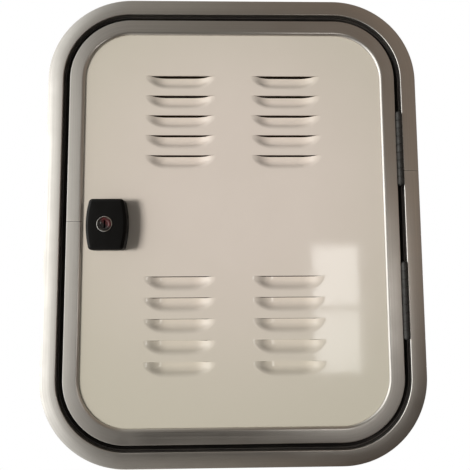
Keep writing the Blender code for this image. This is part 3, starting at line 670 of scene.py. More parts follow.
rubberLook = {
    "colours": ((0.018, 0.016, 0.015), (0.040, 0.034, 0.029)),
    "rough": (0.55, 0.75),
    "patchSize": 0.012,
    "patchShare": 0.6,
    "grain": (0.0005, 0.00003),  # size, depth
    "shader": {},
}
hingeLook = {
    "colours": ((0.01425, 0.0135, 0.01275), (0.019, 0.018, 0.017)),
    "rubbed": (0.075, 0.071, 0.067),
    "rubbedShare": 0.8,
    "rough": (0.50, 0.37),
    "patchSize": 0.006,
    "patchShare": 1.0,
    "grain": (0.0003, 0.000012),
    "shader": {"Metallic": 0.55},
}
plasticLook = {
    "colours": ((0.0034, 0.0032, 0.0030), (0.0034, 0.0032, 0.0030)),
    "rubbed": (0.009, 0.0085, 0.008),
    "rubbedShare": 0.5,
    "rough": (0.36, 0.47),
    "patchSize": 0.009,
    "patchShare": 1.0,
    "grain": (0.00045, 0.00003),
    "shader": {"Specular IOR Level": 0.12},
}
zincLook = {
    "colours": ((0.40, 0.38, 0.34), (0.56, 0.56, 0.53)),
    "rubbed": (0.728, 0.728, 0.689),
    "rubbedShare": 0.6,
    "rough": (0.48, 0.33),
    "patchSize": 0.005,
    "patchShare": 1.0,
    "grain": (0.0006, 0.00001),
    "shader": {"Metallic": 1.0},
}


def grainyFinish(name, look):
    material, tree, shader, place = newMaterial(name, **look["shader"])
    patches = placeGroup(tree, clouds, Place=place, Size=look["patchSize"],
                         High=look["patchShare"])["Value"]
    colour = blendColours(tree, patches, *look["colours"])
    if "rubbed" in look:
        glint = placeGroup(tree, edgeGlint, Place=place, Amount=look["rubbedShare"])["Mask"]
        colour = blendColours(tree, glint, colour, look["rubbed"])
    size, depth = look["grain"]
    grain = placeGroup(tree, speckle, Place=place, Size=size)["Height"]
    dress(tree, shader, colour, spread(tree, patches, 0, 1, *look["rough"]), grain, depth)
    return material


chromeLook = {
    "colour": (0.68, 0.66, 0.63),
    "spots": (0.5576, 0.5412, 0.5166),  # fine dull spots
    "spotScale": 1500.0,
    "roughLow": 0.06,
    "roughHigh": 0.16,
    "patchSize": 0.004,
}


def brightChrome():
    look = chromeLook
    material, tree, shader, place = newMaterial("brightChrome", Metallic=1.0)
    patches = placeGroup(tree, clouds, Place=place, Size=look["patchSize"], Low=look["roughLow"],
                         High=look["roughHigh"])["Value"]
    spots = spread(tree, noiseOf(tree, place, look["spotScale"], 2.0), 0.56, 0.7)
    dress(tree, shader, blendColours(tree, spots, look["colour"], look["spots"]), patches)
    return material


plugLook = {
    "colour": (0.012, 0.010, 0.0095),
    "mark": (0.085, 0.015, 0.016),  # painted dull red reflection over the upper right of the face
    "reflectionTurn": 52,  # degrees from the right, towards the top
    "reflectionReach": (-0.0006, 0.0034),  # metres from the lock's axis: none, full
    "reflectionRagged": 0.0016,
    "raggedScale": 700.0,
    "rough": (0.32, 0.20),
    "patchSize": 0.003,
    "coat": (0.25, 0.12),  # weight, roughness
}


def darkPlug():
    look = plugLook
    coat, coatRough = look["coat"]
    values = {"Metallic": 0.3, "Coat Weight": coat, "Coat Roughness": coatRough}
    material, tree, shader, place = newMaterial("darkPlug", **values)
    turn = math.radians(look["reflectionTurn"])
    fromAxis = vectorSum(tree, "SUBTRACT", place, tuple(lockCentre))
    side = vectorSum(tree, "DOT_PRODUCT", fromAxis, (math.cos(turn), 0.0, math.sin(turn)))
    ragged = noiseOf(tree, place, look["raggedScale"])
    side = sums(tree, "MULTIPLY_ADD", ragged, look["reflectionRagged"], side)
    patches = placeGroup(tree, clouds, Place=place, Size=look["patchSize"], Low=0.5)["Value"]
    # painted red reflection on the upper right of the face, with a ragged edge
    mark = sums(tree, "MULTIPLY", spread(tree, side, *look["reflectionReach"]), patches)
    colour = blendColours(tree, mark, look["colour"], look["mark"])
    dress(tree, shader, colour, spread(tree, patches, 0.5, 1, *look["rough"]))
    return material


finishOf.update({
    "frame_aluminium": satinAluminium(),
    "panel_enamel": whiteEnamel(),
    "seal_rubber": grainyFinish("sealRubber", rubberLook),
    "hinge_black": grainyFinish("blackHinge", hingeLook),
    "lock_plastic": grainyFinish("mouldedPlastic", plasticLook),
    "lock_chrome": brightChrome(),
    "plug_dark": darkPlug(),
    "zinc_steel": grainyFinish("zincSteel", zincLook),
})
print("materials built")


# Wall frame: a cambered face that falls away to a thin outer edge

frameIn = cornerRadius - wallFrameLook["flangeWidth"]
leafRivets = [f"hinge_{where}_{owner}_rivet_{i}" for where in ("upper", "lower")
              for owner in ("frame", "door") for i in (1, 2, 3)]
jointRivets = [f"{owner}_joint_rivet_{i}" for owner in ("frame", "door") for i in (1, 2)]


def fallingFace(inner, outer, look, steps=14):
    # (radius, y) from the inner edge to the outer one
    points = []
    for i in range(steps + 1):
        share = i / steps
        fall = look["fall"] * share ** look["camber"]
        points.append((inner + (outer - inner) * share, -look["faceHeight"] + fall))
    return points


def nodeMiddle(node):
    low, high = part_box(node)
    return (low + high) / 2


def holesAt(nodes, x, *words):
    # places to drill, at x, for the nodes whose names hold all the words
    spots = [nodeMiddle(node) for node in nodes if all(word in node for word in words)]
    return [Vector((x, spot.y, spot.z)) for spot in spots]


def buildWallFrame():
    look = wallFrameLook
    web = frameIn + look["webThickness"]
    ledgeIn = frameIn - look["ledgeWidth"]
    ledgeFront = look["ledgeFront"]
    ledgeBack = ledgeFront + look["ledgeThickness"]
    back = wallHigh.y
    face = fallingFace(frameIn, cornerRadius, look)
    facet, facetFall = look["edgeFacet"]
    corners = [(frameIn, -look["faceHeight"] + facetFall, crease)]
    corners += [(frameIn + facet, -look["faceHeight"], crease)]
    corners += [(*point, 0) for point in face[1:-1]]
    corners += [(*face[-1], rimEdge), (cornerRadius, 0, fineEdge), (web, 0, crease)]
    corners += [(web, back, softEdge), (frameIn, back, softEdge), (frameIn, ledgeBack, crease)]
    corners += [(ledgeIn, ledgeBack, softEdge), (ledgeIn, ledgeFront, softEdge)]
    corners += [(frameIn, ledgeFront, crease)]
    ring = sweepRing(rounded(corners), 1, look["jointZ"], look["jointSlit"])
    piece = addPiece(ring, "outer_frame", "wallFrame")
    webMiddle = (frameIn + web) / 2
    x = cornerX + webMiddle
    y = (ledgeBack + back) / 2
    depth = 3 * look["webThickness"]
    rivets = holesAt(leafRivets, x, "_frame_") + holesAt(jointRivets, x, "frame_")
    carve(piece, drills("X", rivets, rivetHole, depth))
    sides = [Vector((side * x, y, midZ + z)) for side in (-1, 1)
             for z in (look["fixingSideInset"] - cornerZ, 0, cornerZ - look["fixingSideInset"])]
    carve(piece, drills("X", sides, look["fixingRadius"], depth))
    ends = [Vector((x, y, midZ + side * (cornerZ + webMiddle))) for side in (-1, 1)
            for x in (look["fixingEndInset"] - cornerX, cornerX - look["fixingEndInset"])]
    carve(piece, drills("Z", ends, look["fixingRadius"], depth))


buildWallFrame()
print("wall frame built")


# Door frame: a lower version of the same face, with a rolled lip that holds the sheet

def buildDoorFrame(lipSteps=12):
    look = doorFrameLook
    seen = doorOut - look["flangeWidth"]
    lip = panelFront - seat
    foot = panelFront + look["panelThickness"] + seat
    footBack = foot + look["footThickness"]
    footEdge = seen + look["footShort"]
    leg = panelEdge + seat
    legOut = leg + look["legThickness"]
    flangeBack = -look["faceHeight"] + look["flangeThickness"]
    web = doorOut - look["webThickness"]
    face = fallingFace(seen + look["lipWidth"], doorOut, look)
    corners = [(doorOut, doorHigh.y, softEdge), (*face[-1], rimEdge)]
    corners += [(*point, 0) for point in reversed(face[1:-1])]
    for i in range(lipSteps + 1):
        turn = math.pi / 2 * i / lipSteps
        across = seen + look["lipWidth"] * (1 - math.sin(turn))
        corners.append((across, lip - (look["faceHeight"] + lip) * math.cos(turn), 0))
    corners += [(leg, lip, fineEdge), (leg, foot, fineEdge), (footEdge, foot, fineEdge)]
    corners += [(footEdge, footBack, softEdge), (legOut, footBack, softEdge)]
    corners += [(legOut, flangeBack, softEdge), (web, flangeBack, softEdge), (web, doorHigh.y, softEdge)]
    piece = addPiece(sweepRing(rounded(corners), -1, look["jointZ"], look["jointSlit"]), "door_frame")
    x = cornerX + (doorOut + web) / 2
    rivets = holesAt(leafRivets, x, "_door_") + holesAt(jointRivets, -x, "door_")
    carve(piece, drills("X", rivets, rivetHole, 3 * look["webThickness"]))


buildDoorFrame()
print("door frame built")


# Joint plates behind the butt joints

plateLook = {"edge": 0.0003}


def buildPlates():
    for owner in ("frame", "door"):
        node = f"{owner}_joint_plate"
        low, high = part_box(node)
        piece = addPiece(solidBox(low, high), node)
        softenEdges(piece, plateLook["edge"])
        rivets = holesAt(jointRivets, (low.x + high.x) / 2, f"{owner}_")
        carve(piece, drills("X", rivets, rivetHole, 4 * (high.x - low.x)))


buildPlates()


# Rivets: domed head with the broken stem in its middle, and a pulled tail

rivetLook = {
    "shank": 0.0015,
    "tail": 0.0021,
    "headHeight": 0.0009,
    "headEdge": 0.0002,
    "tailHeight": 0.0016,
    "stem": 0.0008,
    "stemSunk": 0.00035,
    "dimpleSunk": 0.0001,  # the stem's hole in the head, and how much wider it is
    "dimpleWide": 1.3,
    "steps": 6,
    "stepsRound": 32,
}


def buildRivet(node, headSide):
    look = rivetLook
    low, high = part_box(node)
    head = low.x if headSide < 0 else high.x
    tail = high.x if headSide < 0 else low.x
    inward = -headSide
    headRadius = (high.y - low.y) / 2
    under = head + inward * look["headHeight"]
    shoulder = tail - inward * look["tailHeight"]
    stem = look["stem"]
    dimple = stem * look["dimpleWide"]
    sunk = head + inward * look["stemSunk"]
    dome = look["headHeight"] - look["headEdge"]
    quarter = [math.pi / 2 * i / look["steps"] for i in range(look["steps"] + 1)]
    profile = [(0, sunk), (stem, sunk), (stem, head + inward * look["dimpleSunk"])]
    for turn in quarter:
        across = dimple + (headRadius - dimple) * math.sin(turn)
        profile.append((across, head + inward * dome * (1 - math.cos(turn))))
    profile += [(headRadius, under), (look["shank"], under), (look["shank"], shoulder)]
    for turn in quarter[:-1]:
        along = shoulder + inward * look["tailHeight"] * math.sin(turn)
        profile.append((look["tail"] * math.cos(turn), along))
    profile += [(0, tail)]
    addPiece(revolve(profile, "X", nodeMiddle(node), look["stepsRound"]), node)


for leafRivet in leafRivets:
    buildRivet(leafRivet, -1 if "_frame_" in leafRivet else 1)
for jointRivet in jointRivets:
    buildRivet(jointRivet, -1)
print("plates and rivets built")


# Rebate seal: a leg along the frame's web, a foot on the ledge and a bulb under the door's web

sealLook = {
    "legThickness": 0.0010,
    "footThickness": 0.0013,
    "bulbRadius": 0.0024,
    "bulbSteps": 18,
    "leafThickness": 0.0012,
}


def buildSeal():
    look = sealLook
    low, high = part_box("rebate_seal")
    legOut = frameIn - seat
    legIn = legOut - look["legThickness"]
    foot = high.y - look["footThickness"]
    radius = look["bulbRadius"]
    x = doorOut - doorFrameLook["webThickness"] / 2
    y = doorHigh.y + seat + radius
    corners = [(legIn, low.y, softEdge), (legOut, low.y, softEdge), (legOut, high.y, softEdge)]
    corners += [(x - radius, high.y, softEdge)]
    for i in range(look["bulbSteps"] + 1):
        turn = math.radians(180 + 180 * i / look["bulbSteps"])
        corners.append((x + radius * math.cos(turn), y + radius * math.sin(turn), 0))
    corners += [(x + radius, foot, 0), (legIn, foot, crease)]
    piece = addPiece(sweepRing(rounded(corners)), "rebate_seal")
    for where in ("upper", "lower"):  # the leg makes room for each hinge's leaf
        leafLow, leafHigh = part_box(f"hinge_{where}_frame_leaf")
        start = (cornerX + legOut - look["leafThickness"] - seat, low.y - 10 * past, leafLow.z - seat)
        carve(piece, solidBox(start, (cornerX + frameIn + seat, foot, leafHigh.z + seat)))


buildSeal()
print("seal built")


# Hinges: rolled leaves on a headed pin

hingeParts = {
    "pinSteps": 28,
    "knuckles": 9,
    "leafThickness": 0.0012,
    "curlDegrees": 300,
    "curlSteps": 22,
    "pinHeadHeight": 0.0008,
    "edge": 0.00012,
}


def rolledLeaf(side, owner, where, pin):
    parts = hingeParts
    leafLow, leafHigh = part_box(f"hinge_{where}_{owner}_leaf")
    knuckleRadius = (frameIn - doorOut) / 2 - seat
    thickness = parts["leafThickness"]
    bottom, length = leafLow.z, leafHigh.z - leafLow.z
    pitch = (length + seat) / parts["knuckles"]
    owned = []
    for k in range(0 if owner == "frame" else 1, parts["knuckles"], 2):
        owned.append((bottom + k * pitch, bottom + (k + 1) * pitch - seat))
    levels = sorted({bottom, bottom + length, *(level for span in owned for level in span)})
    steps = parts["curlSteps"]
    outer = []
    inner = []
    for i in range(steps + 1):
        turn = -math.radians(parts["curlDegrees"]) * i / steps
        outer.append((knuckleRadius * math.cos(turn), knuckleRadius * math.sin(turn)))
        reach = knuckleRadius - thickness
        inner.append((reach * math.cos(turn), reach * math.sin(turn)))
    curl = outer + inner[::-1]
    stripStart = knuckleRadius + seat
    stripEnd = leafHigh.y - pin.y
    strip = [(knuckleRadius, stripStart), (knuckleRadius - thickness, stripStart),
             (knuckleRadius - thickness, stripEnd), (knuckleRadius, stripEnd)]
    bm = bmesh.new()

    def at(point, z):
        return bm.verts.new((pin.x + side * point[0], pin.y + point[1], z))

    rows = [[at(point, z) for point in strip] for z in levels]
    for low, high, lowZ, highZ in zip(rows, rows[1:], levels, levels[1:]):
        for i in (1, 2, 3):
            j = (i + 1) % 4
            bm.faces.new((low[i], low[j], high[j], high[i]))
        if not any(start <= lowZ and highZ <= end for start, end in owned):
            bm.faces.new((low[0], low[1], high[1], high[0]))
            continue
        ends = [[row[0]] + [at(point, z) for point in curl] + [row[1]]
                for row, z in ((low, lowZ), (high, highZ))]
        for i in range(len(ends[0]) - 1):
            bm.faces.new((ends[0][i], ends[0][i + 1], ends[1][i + 1], ends[1][i]))
        bm.faces.new(ends[0])
        bm.faces.new(ends[1][::-1])
    bm.faces.new(rows[0])
    bm.faces.new(rows[-1][::-1])
    return bm


def buildHinges():
    parts = hingeParts
    head = parts["pinHeadHeight"]
    shank = (frameIn - doorOut) / 2 - 2 * seat - parts["leafThickness"]
    for where in ("upper", "lower"):
        low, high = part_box(f"hinge_{where}_pin")
        pin = (low + high) / 2
        wide = (high.x - low.x) / 2
        profile = [(0, low.z, 0), (wide, low.z, crease), (wide, low.z + head, hairEdge)]
        profile += [(shank, low.z + head, 0), (shank, high.z - head, 0)]
        profile += [(wide, high.z - head, hairEdge), (wide, high.z, crease), (0, high.z, 0)]
        addPiece(revolve(rounded(profile, closed=False), "Z", pin, parts["pinSteps"]), f"hinge_{where}_pin")
        for owner, side in (("frame", 1), ("door", -1)):
            piece = addPiece(rolledLeaf(side, owner, where, pin), f"hinge_{where}_{owner}_leaf")
            softenEdges(piece, parts["edge"], 50)
            rivets = holesAt(leafRivets, pin.x + side * (wide + past), where, owner)
            carve(piece, drills("X", rivets, rivetHole, 6 * parts["leafThickness"]))


buildHinges()
print("hinges built")


# Door panel: flat sheet with louvres pressed inwards below their slits

panelLook = {
    "thickness": 0.0012,
    "louvreLength": 0.074,
    "louvreHeight": 0.0154,
    "louvreDepth": 0.0058,
    "slit": 0.0008,
    "pitch": 0.0210,
    "perGroup": 5,
    "groupX": 0.0545,
    "groupsZ": (0.1134, -0.0943),
    "endWidth": 0.0225,  # length of each end that rises to the flat
    "fullHeight": 0.0042,  # height of the deepest part, below the slit
    "blend": 0.45,  # share of the rise that rolls out into the flat
    "fullness": 2.2,  # 2 is an oval corner, more is squarer
    "cornerPower": 2.9,
    "stepsAcross": 44,
    "stepsDown": 16,
    "lockHole": 0.0072,
    "holeSteps": 48,
    "crispAngle": 50,
}


def pressed(u, v):
    # share of the full depth: u from the middle (0) to the ends (1), v from the slit (0) down (1)
    look = panelLook
    end = look["endWidth"] / (look["louvreLength"] / 2)
    full = look["fullHeight"] / look["louvreHeight"]
    blend = look["blend"]
    power = look["fullness"]
    endward = max(0, (abs(u) - 1 + end) / end)
    downward = max(0, (v - full) / (1 - full))
    out = (endward**power + downward**power) ** (1 / power)
    if out < 1 - blend:
        return 1 - out**2 / (1 - blend)
    return max(0, 1 - out) ** 2 / blend


def addLouvre(bm, midX, slitZ):
    look = panelLook
    half = look["louvreLength"] / 2
    count = look["stepsAcross"]
    down = look["stepsDown"]
    us = [math.sin(math.pi / 2 * (2 * i / count - 1)) for i in range(count + 1)]
    ends = [bm.verts.new((midX + side * half, panelFront, slitZ)) for side in (-1, 1)]
    edge = [ends[0]] + [bm.verts.new((midX + half * u, panelFront, slitZ)) for u in us[1:-1]] + [ends[1]]
    patch = []
    columns = []
    for u in us[1:-1]:
        reach = look["louvreHeight"] * (1 - abs(u) ** look["cornerPower"]) ** (1 / look["cornerPower"])
        deep = pressed(u, 0)
        column = []
        for k in range(down + 1):
            v = math.sin(math.pi / 2 * k / down)
            sunk = look["louvreDepth"] * pressed(u, v)
            drop = look["slit"] * min(deep * 2, 1) * (1 - v) + reach * v
            column.append(bm.verts.new((midX + half * u, panelFront + sunk, slitZ - drop)))
        columns.append(column)
    for end, column in ((ends[0], columns[0]), (ends[1], columns[-1])):
        for above, below in zip(column, column[1:]):
            patch.append(bm.faces.new((end, above, below)))
    for near, far in zip(columns, columns[1:]):
        for k in range(down):
            patch.append(bm.faces.new((near[k], near[k + 1], far[k + 1], far[k])))
    outline = edge + [column[-1] for column in reversed(columns)]
    return patch, loopEdges(bm, outline)


def loopEdges(bm, verts):
    edges = []
    for i, vert in enumerate(verts):
        pair = (vert, verts[(i + 1) % len(verts)])
        edges.append(bm.edges.get(pair) or bm.edges.new(pair))
    return edges


def buildPanel():
    look = panelLook
    bm = bmesh.new()
    stations = ringStations(ringCornerSteps)
    edges = loopEdges(bm, [bm.verts.new(onRing(station, panelEdge, panelFront)) for station in stations])
    hole = []
    for i in range(look["holeSteps"]):
        turn = 2 * math.pi * i / look["holeSteps"]
        x = lockCentre.x + look["lockHole"] * math.cos(turn)
        hole.append(bm.verts.new((x, panelFront, lockCentre.z + look["lockHole"] * math.sin(turn))))
    edges += loopEdges(bm, hole)
    patches = []
    half = (look["perGroup"] - 1) / 2
    for midX in (-look["groupX"], look["groupX"]):
        for groupZ in look["groupsZ"]:
            for i in range(look["perGroup"]):
                patch, outline = addLouvre(bm, midX, midZ + groupZ + look["pitch"] * (i - half))
                patches += patch
                edges += outline
    for face in patches:
        face.smooth = True
    flat = bmesh.ops.triangle_fill(bm, use_beauty=True, edges=edges, normal=(0, -1, 0))["geom"]
    for face in (item for item in flat if isinstance(item, bmesh.types.BMFace)):
        face.smooth = False
    bmesh.ops.recalc_face_normals(bm, faces=bm.faces)
    back = bmesh.ops.extrude_face_region(bm, geom=list(bm.faces), use_keep_orig=True)["geom"]
    for vert in (item for item in back if isinstance(item, bmesh.types.BMVert)):
        vert.co.y += look["thickness"]
    markSharp(bm, look["crispAngle"])
    addPiece(bm, "door_panel", "louvredPanel", smooth=False)


buildPanel()
print("panel built")


# Lock: grained plastic housing, chrome sleeve, recessed plug, and the cam behind

lockLook = {
    "endWidth": 0.0330,
    "corner": 0.0040,
    "leastCorner": 0.0006,
    "chamferWidth": 0.0028,
    "chamferDepth": 0.0024,
    "chamferRound": 0.0012,
    "faceInsets": (0.0070, 0.0120),  # rings that carry the front's crown
    "wall": 0.0022,
    "crown": 0.0007,
    "crownShares": (0.75, 0.25),  # across, up
    "boss": 0.0102,
    "sleeveRadius": 0.0077,
    "sleeveRim": 0.0007,
    "mouth": (0.0006, 0.0012),  # width and depth of the sleeve's countersink
    "shoulder": 0.0060,
    "thread": 0.0069,
    "threadPitch": 0.0010,
    "threadDepth": 0.0005,
    "threadEnds": (0.001, 0.0004),  # plain ends
    "threadRows": 70,
    "plugHead": 0.0062,
    "plugHeadDepth": 0.0026,
    "plugRadius": 0.0050,
    "plugDish": (0.0035, 0.0045, 0.0003, 0.001),  # inner and outer radius, depth, rounding
    "square": 0.0070,
    "keyway": (0.0018, 0.0078, 0.0090),
    "nutFlats": 0.0190,
    "nutChamfer": 0.55,
    "nutSteps": 96,
    "camThickness": 0.0020,
    "camWidth": 0.0150,
    "camTipWidth": 0.0120,
    "camSteps": 56,
    "leastWidth": 0.0004,  # of the cam, at its two ends
    "crankStart": 0.0110,
    "crankLength": 0.0110,
    "screwHole": 0.0025,
    "screwShank": 0.0022,
    "screwHeadShares": (0.45, 0.7),  # height of its side, width of its crown
    "screwCrownRound": 0.0012,
    "screwSlot": (0.0010, 0.0012),
}


def housingOutline(inset, sideSteps=28, cornerSteps=8):
    halfW = (housingHigh.x - housingLow.x) / 2
    halfH = (housingHigh.z - housingLow.z) / 2
    bulge = halfW - lockLook["endWidth"] / 2
    radius = max(lockLook["corner"] - inset, lockLook["leastCorner"])
    reach = halfH - inset - radius

    def halfWidth(z):
        return halfW - inset - bulge * (z / halfH) ** 2

    quarter = [(halfWidth(reach * i / sideSteps), reach * i / sideSteps) for i in range(sideSteps + 1)]
    for i in range(1, cornerSteps + 1):
        turn = math.pi / 2 * i / cornerSteps
        x = halfWidth(reach) - radius + radius * math.cos(turn)
        quarter.append((x, reach + radius * math.sin(turn)))
    upperLeft = [(-x, z) for x, z in reversed(quarter)]
    lowerLeft = [(-x, -z) for x, z in quarter[1:]]
    lowerRight = [(x, -z) for x, z in reversed(quarter[1:])]
    return quarter + upperLeft + lowerLeft + lowerRight


def housingSolid(levels, crown=0.0):
    # stacked outlines, given as (inset, y, share of the crown)
    halfW = (housingHigh.x - housingLow.x) / 2
    halfH = (housingHigh.z - housingLow.z) / 2
    bm = bmesh.new()
    rings = []
    acrossShare, upShare = lockLook["crownShares"]
    for inset, y, share in levels:
        ring = []
        for x, z in housingOutline(inset):
            sink = crown * share * (acrossShare * (x / halfW) ** 2 + upShare * (z / halfH) ** 2)
            ring.append(bm.verts.new((housingCentre.x + x, y + sink, housingCentre.z + z)))
        rings.append(ring)
    joinRings(bm, rings)
    return bm


def buildHousing():
    look = lockLook
    front, back = housingLow.y, housingHigh.y
    shoulder = front + look["chamferDepth"]
    outerRing, innerRing = look["faceInsets"]
    section = [(0, back, 0), (0, shoulder, look["chamferRound"])]
    section += [(look["chamferWidth"], front, look["chamferRound"]), (innerRing, front, 0)]
    levels = [(inset, y, 1 - smoothStep(y, front, shoulder)) for inset, y in rounded(section, 5, False)]
    levels.insert(-1, (outerRing, front, 1))
    housing = addPiece(housingSolid(levels, look["crown"]), "lock_housing")
    wall = look["wall"]
    roof = front + look["crown"] + wall
    inner = [(wall, back + seat, 0), (wall, shoulder + wall, 0), (wall + look["chamferWidth"], roof, 0)]
    carve(housing, housingSolid(inner))
    boss = [(0, roof - seat), (look["boss"], roof - seat), (look["boss"], back), (0, back)]
    carve(housing, revolve(boss, "Y", lockCentre, steps=48), "UNION")
    step = sleeveLow.y + look["shoulder"] + seat
    wide = look["sleeveRadius"] + seat
    narrow = look["thread"] + seat
    bore = [(0, front - past), (wide, front - past), (wide, step), (narrow, step)]
    bore += [(narrow, back + past), (0, back + past)]
    carve(housing, revolve(bore, "Y", lockCentre, steps=64))


def buildSleeve():
    look = lockLook
    front = sleeveLow.y
    back = sleeveHigh.y
    outside = look["sleeveRadius"]
    core = look["thread"]
    headBore = look["plugHead"] + seat
    bore = look["plugRadius"] + seat
    plugSeat = plugLow.y + look["plugHeadDepth"] + seat
    shoulder = front + look["shoulder"]
    mouthWidth, mouthDepth = look["mouth"]
    plainStart, plainEnd = look["threadEnds"]
    rows = look["threadRows"]
    corners = [(headBore, front + mouthDepth, fineEdge), (headBore + mouthWidth, front, softEdge)]
    corners += [(outside, front, look["sleeveRim"])]
    corners += [(outside, shoulder, hairEdge), (core, shoulder, hairEdge)]
    corners += [(core, shoulder + (back - shoulder) * i / rows, 0) for i in range(1, rows)]
    corners += [(core, back, softEdge), (bore, back, fineEdge)]
    corners += [(bore, plugSeat, 0), (headBore, plugSeat, 0)]
    thread = {"start": shoulder + plainStart, "end": back - plainEnd, "pitch": look["threadPitch"],
              "depth": look["threadDepth"], "inside": bore + past}
    addPiece(revolve(rounded(corners), "Y", lockCentre, steps=72, thread=thread), "lock_sleeve")


def buildRing(node, inner):
    low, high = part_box(node)
    outer = (high.z - low.z) / 2
    corners = [(inner, low.y, hairEdge), (outer, low.y, fineEdge)]
    corners += [(outer, high.y, fineEdge), (inner, high.y, hairEdge)]
    addPiece(revolve(rounded(corners), "Y", lockCentre, steps=64), node)


def buildNut():
    look = lockLook
    low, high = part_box("lock_nut")
    hole = look["thread"] + seat
    mouth = hole + softEdge
    flats = look["nutFlats"] / 2
    x, z = lockCentre.x, lockCentre.z
    bm = bmesh.new()
    rings = []
    for i in range(look["nutSteps"]):
        turn = 2 * math.pi * i / look["nutSteps"]
        flat = flats / math.cos((turn + math.pi / 6) % (math.pi / 3) - math.pi / 6)
        chamfer = (flat - flats) * look["nutChamfer"]
        section = [(mouth, low.y), (flats, low.y), (flat, low.y + chamfer), (flat, high.y - chamfer)]
        section += [(flats, high.y), (mouth, high.y), (hole, high.y - softEdge), (hole, low.y + softEdge)]
        across, up = math.cos(turn), math.sin(turn)
        rings.append([bm.verts.new((x + r * across, y, z + r * up)) for r, y in section])
    joinRings(bm, rings, closed=True)
    addPiece(bm, "lock_nut", sharpAngle=25)


def buildPlug():
    look = lockLook
    front = plugLow.y
    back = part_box("cam_washer")[0].y - seat - look["camThickness"] - seat
    headBack = front + look["plugHeadDepth"]
    head, barrel = look["plugHead"], look["plugRadius"]
    dishIn, dishOut, dishDepth, dishRound = look["plugDish"]
    dish = front + dishDepth
    profile = [(0, dish, 0), (dishIn, dish, dishRound), (dishOut, front, dishRound)]
    profile += [(head, front, rimEdge), (head, headBack, fineEdge)]
    profile += [(barrel, headBack, 0), (barrel, back, fineEdge), (0, back, 0)]
    plug = addPiece(revolve(rounded(profile, closed=False), "Y", lockCentre, steps=64), "lock_plug")
    half = look["square"] / 2
    x, z = lockCentre.x, lockCentre.z
    carve(plug, solidBox((x - half, back - seat, z - half), (x + half, plugHigh.y, z + half)), "UNION")
    width, height, deep = look["keyway"]
    low = (x - width / 2, front - past, z - height / 2)
    carve(plug, solidBox(low, (x + width / 2, front + deep, z + height / 2)))
    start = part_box("cam_screw")[0].y - seat
    end = plugHigh.y + past
    hole = look["screwHole"]
    carve(plug, revolve([(0, start), (hole, start), (hole, end), (0, end)], "Y", lockCentre, steps=32))


def buildCam():
    look = lockLook
    low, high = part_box("lock_cam")
    thick = look["camThickness"]
    hub = look["camWidth"] / 2
    tipHalf = look["camTipWidth"] / 2
    reach = lockCentre.z - low.z
    tip = reach - tipHalf
    rise = high.y - thick - low.y
    least = look["leastWidth"] ** 2
    x, z = lockCentre.x, lockCentre.z
    bm = bmesh.new()
    rings = []
    for i in range(look["camSteps"] + 1):
        down = -hub + (hub + reach) * (1 - math.cos(math.pi * i / look["camSteps"])) / 2
        y = low.y + rise * smoothStep(down, look["crankStart"], look["crankStart"] + look["crankLength"])
        if down < 0:
            half = math.sqrt(max(hub**2 - down**2, least))
        elif down > tip:
            half = math.sqrt(max(tipHalf**2 - (down - tip) ** 2, least))
        else:
            half = hub + (tipHalf - hub) * down / tip
        inner = half - softEdge
        section = [(-inner, 0), (inner, 0), (half, softEdge), (half, thick - softEdge)]
        section += [(inner, thick), (-inner, thick), (-half, thick - softEdge), (-half, softEdge)]
        rings.append([bm.verts.new((x + a, y + b, z - down)) for a, b in section])
    joinRings(bm, rings)
    cam = addPiece(bm, "lock_cam")
    hole = look["square"] / 2 + seat
    front, back = low.y - 2 * past, low.y + thick + 2 * past
    carve(cam, solidBox((x - hole, front, z - hole), (x + hole, back, z + hole)))


def buildCamScrew():
    look = lockLook
    low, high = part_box("cam_screw")
    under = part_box("cam_washer")[1].y + seat
    shank = look["screwShank"]
    wide = (high.x - low.x) / 2
    side, crown = look["screwHeadShares"]
    profile = [(0, low.y, 0), (shank, low.y, crease), (shank, under, 0), (wide, under, fineEdge)]
    profile += [(wide, under + (high.y - under) * side, crease)]
    profile += [(wide * crown, high.y - fineEdge, look["screwCrownRound"]), (0, high.y, 0)]
    screw = addPiece(revolve(rounded(profile, closed=False), "Y", lockCentre, steps=40), "cam_screw")
    width, deep = look["screwSlot"]
    x, z = lockCentre.x, lockCentre.z
    start = (x - wide - past, high.y - deep, z - width / 2)
    carve(screw, solidBox(start, (x + wide + past, high.y + past, z + width / 2)))


buildHousing()
buildSleeve()
buildRing("lock_washer", lockLook["thread"] + seat)
buildNut()
buildPlug()
buildCam()
buildRing("cam_washer", lockLook["screwHole"])
buildCamScrew()
print("lock built")


# Floor, a card of painted shade for the locker's inside, lamps and world

stageLook = {
    "floorDrop": 0.30,
    "floorSize": 8.0,
    "floorColour": (0.86, 0.85, 0.83),
    "floorWhite": 0.88,  # share of plain white that the camera sees near the object
    "fadeReach": (0.35, 0.9),  # metres from the object: the floor goes over into the white background
    "shadeCardInset": 0.0007,  # how far inside the web's back end the card of painted shade begins
    "insideShadeColour": (0.02, 0.015, 0.011),
    "shadeCardCornerSteps": 12,
}
lamps = {
    "softKey": {"aim": (0, 0, 0.23), "from": (-5.25, -4.50, -0.20), "size": (2.0, 1.8), "power": 506,
                "colour": (1.0, 0.975, 0.94), "lights": ("diffuse",)},
    "frontWindowTop": {"aim": (0.91, 0, 0.200), "from": (0.91, -3.48, 0.200), "size": (0.38, 0.50),
                       "power": 3.7, "colour": (1.0, 0.99, 0.96), "lights": ("diffuse", "glossy")},
    "frontWindowFoot": {"aim": (0.91, 0, -0.335), "from": (0.91, -3.48, -0.335), "size": (0.38, 0.50),
                        "power": 3.3, "colour": (1.0, 0.99, 0.96), "lights": ("diffuse", "glossy")},
    "rearFill": {"aim": (0, 0, 0.2), "from": (0.9, 2.4, -0.10), "size": (1.2, 1.2), "power": 55,
                 "colour": (1.0, 0.98, 0.95), "lights": ("diffuse", "glossy")},
}
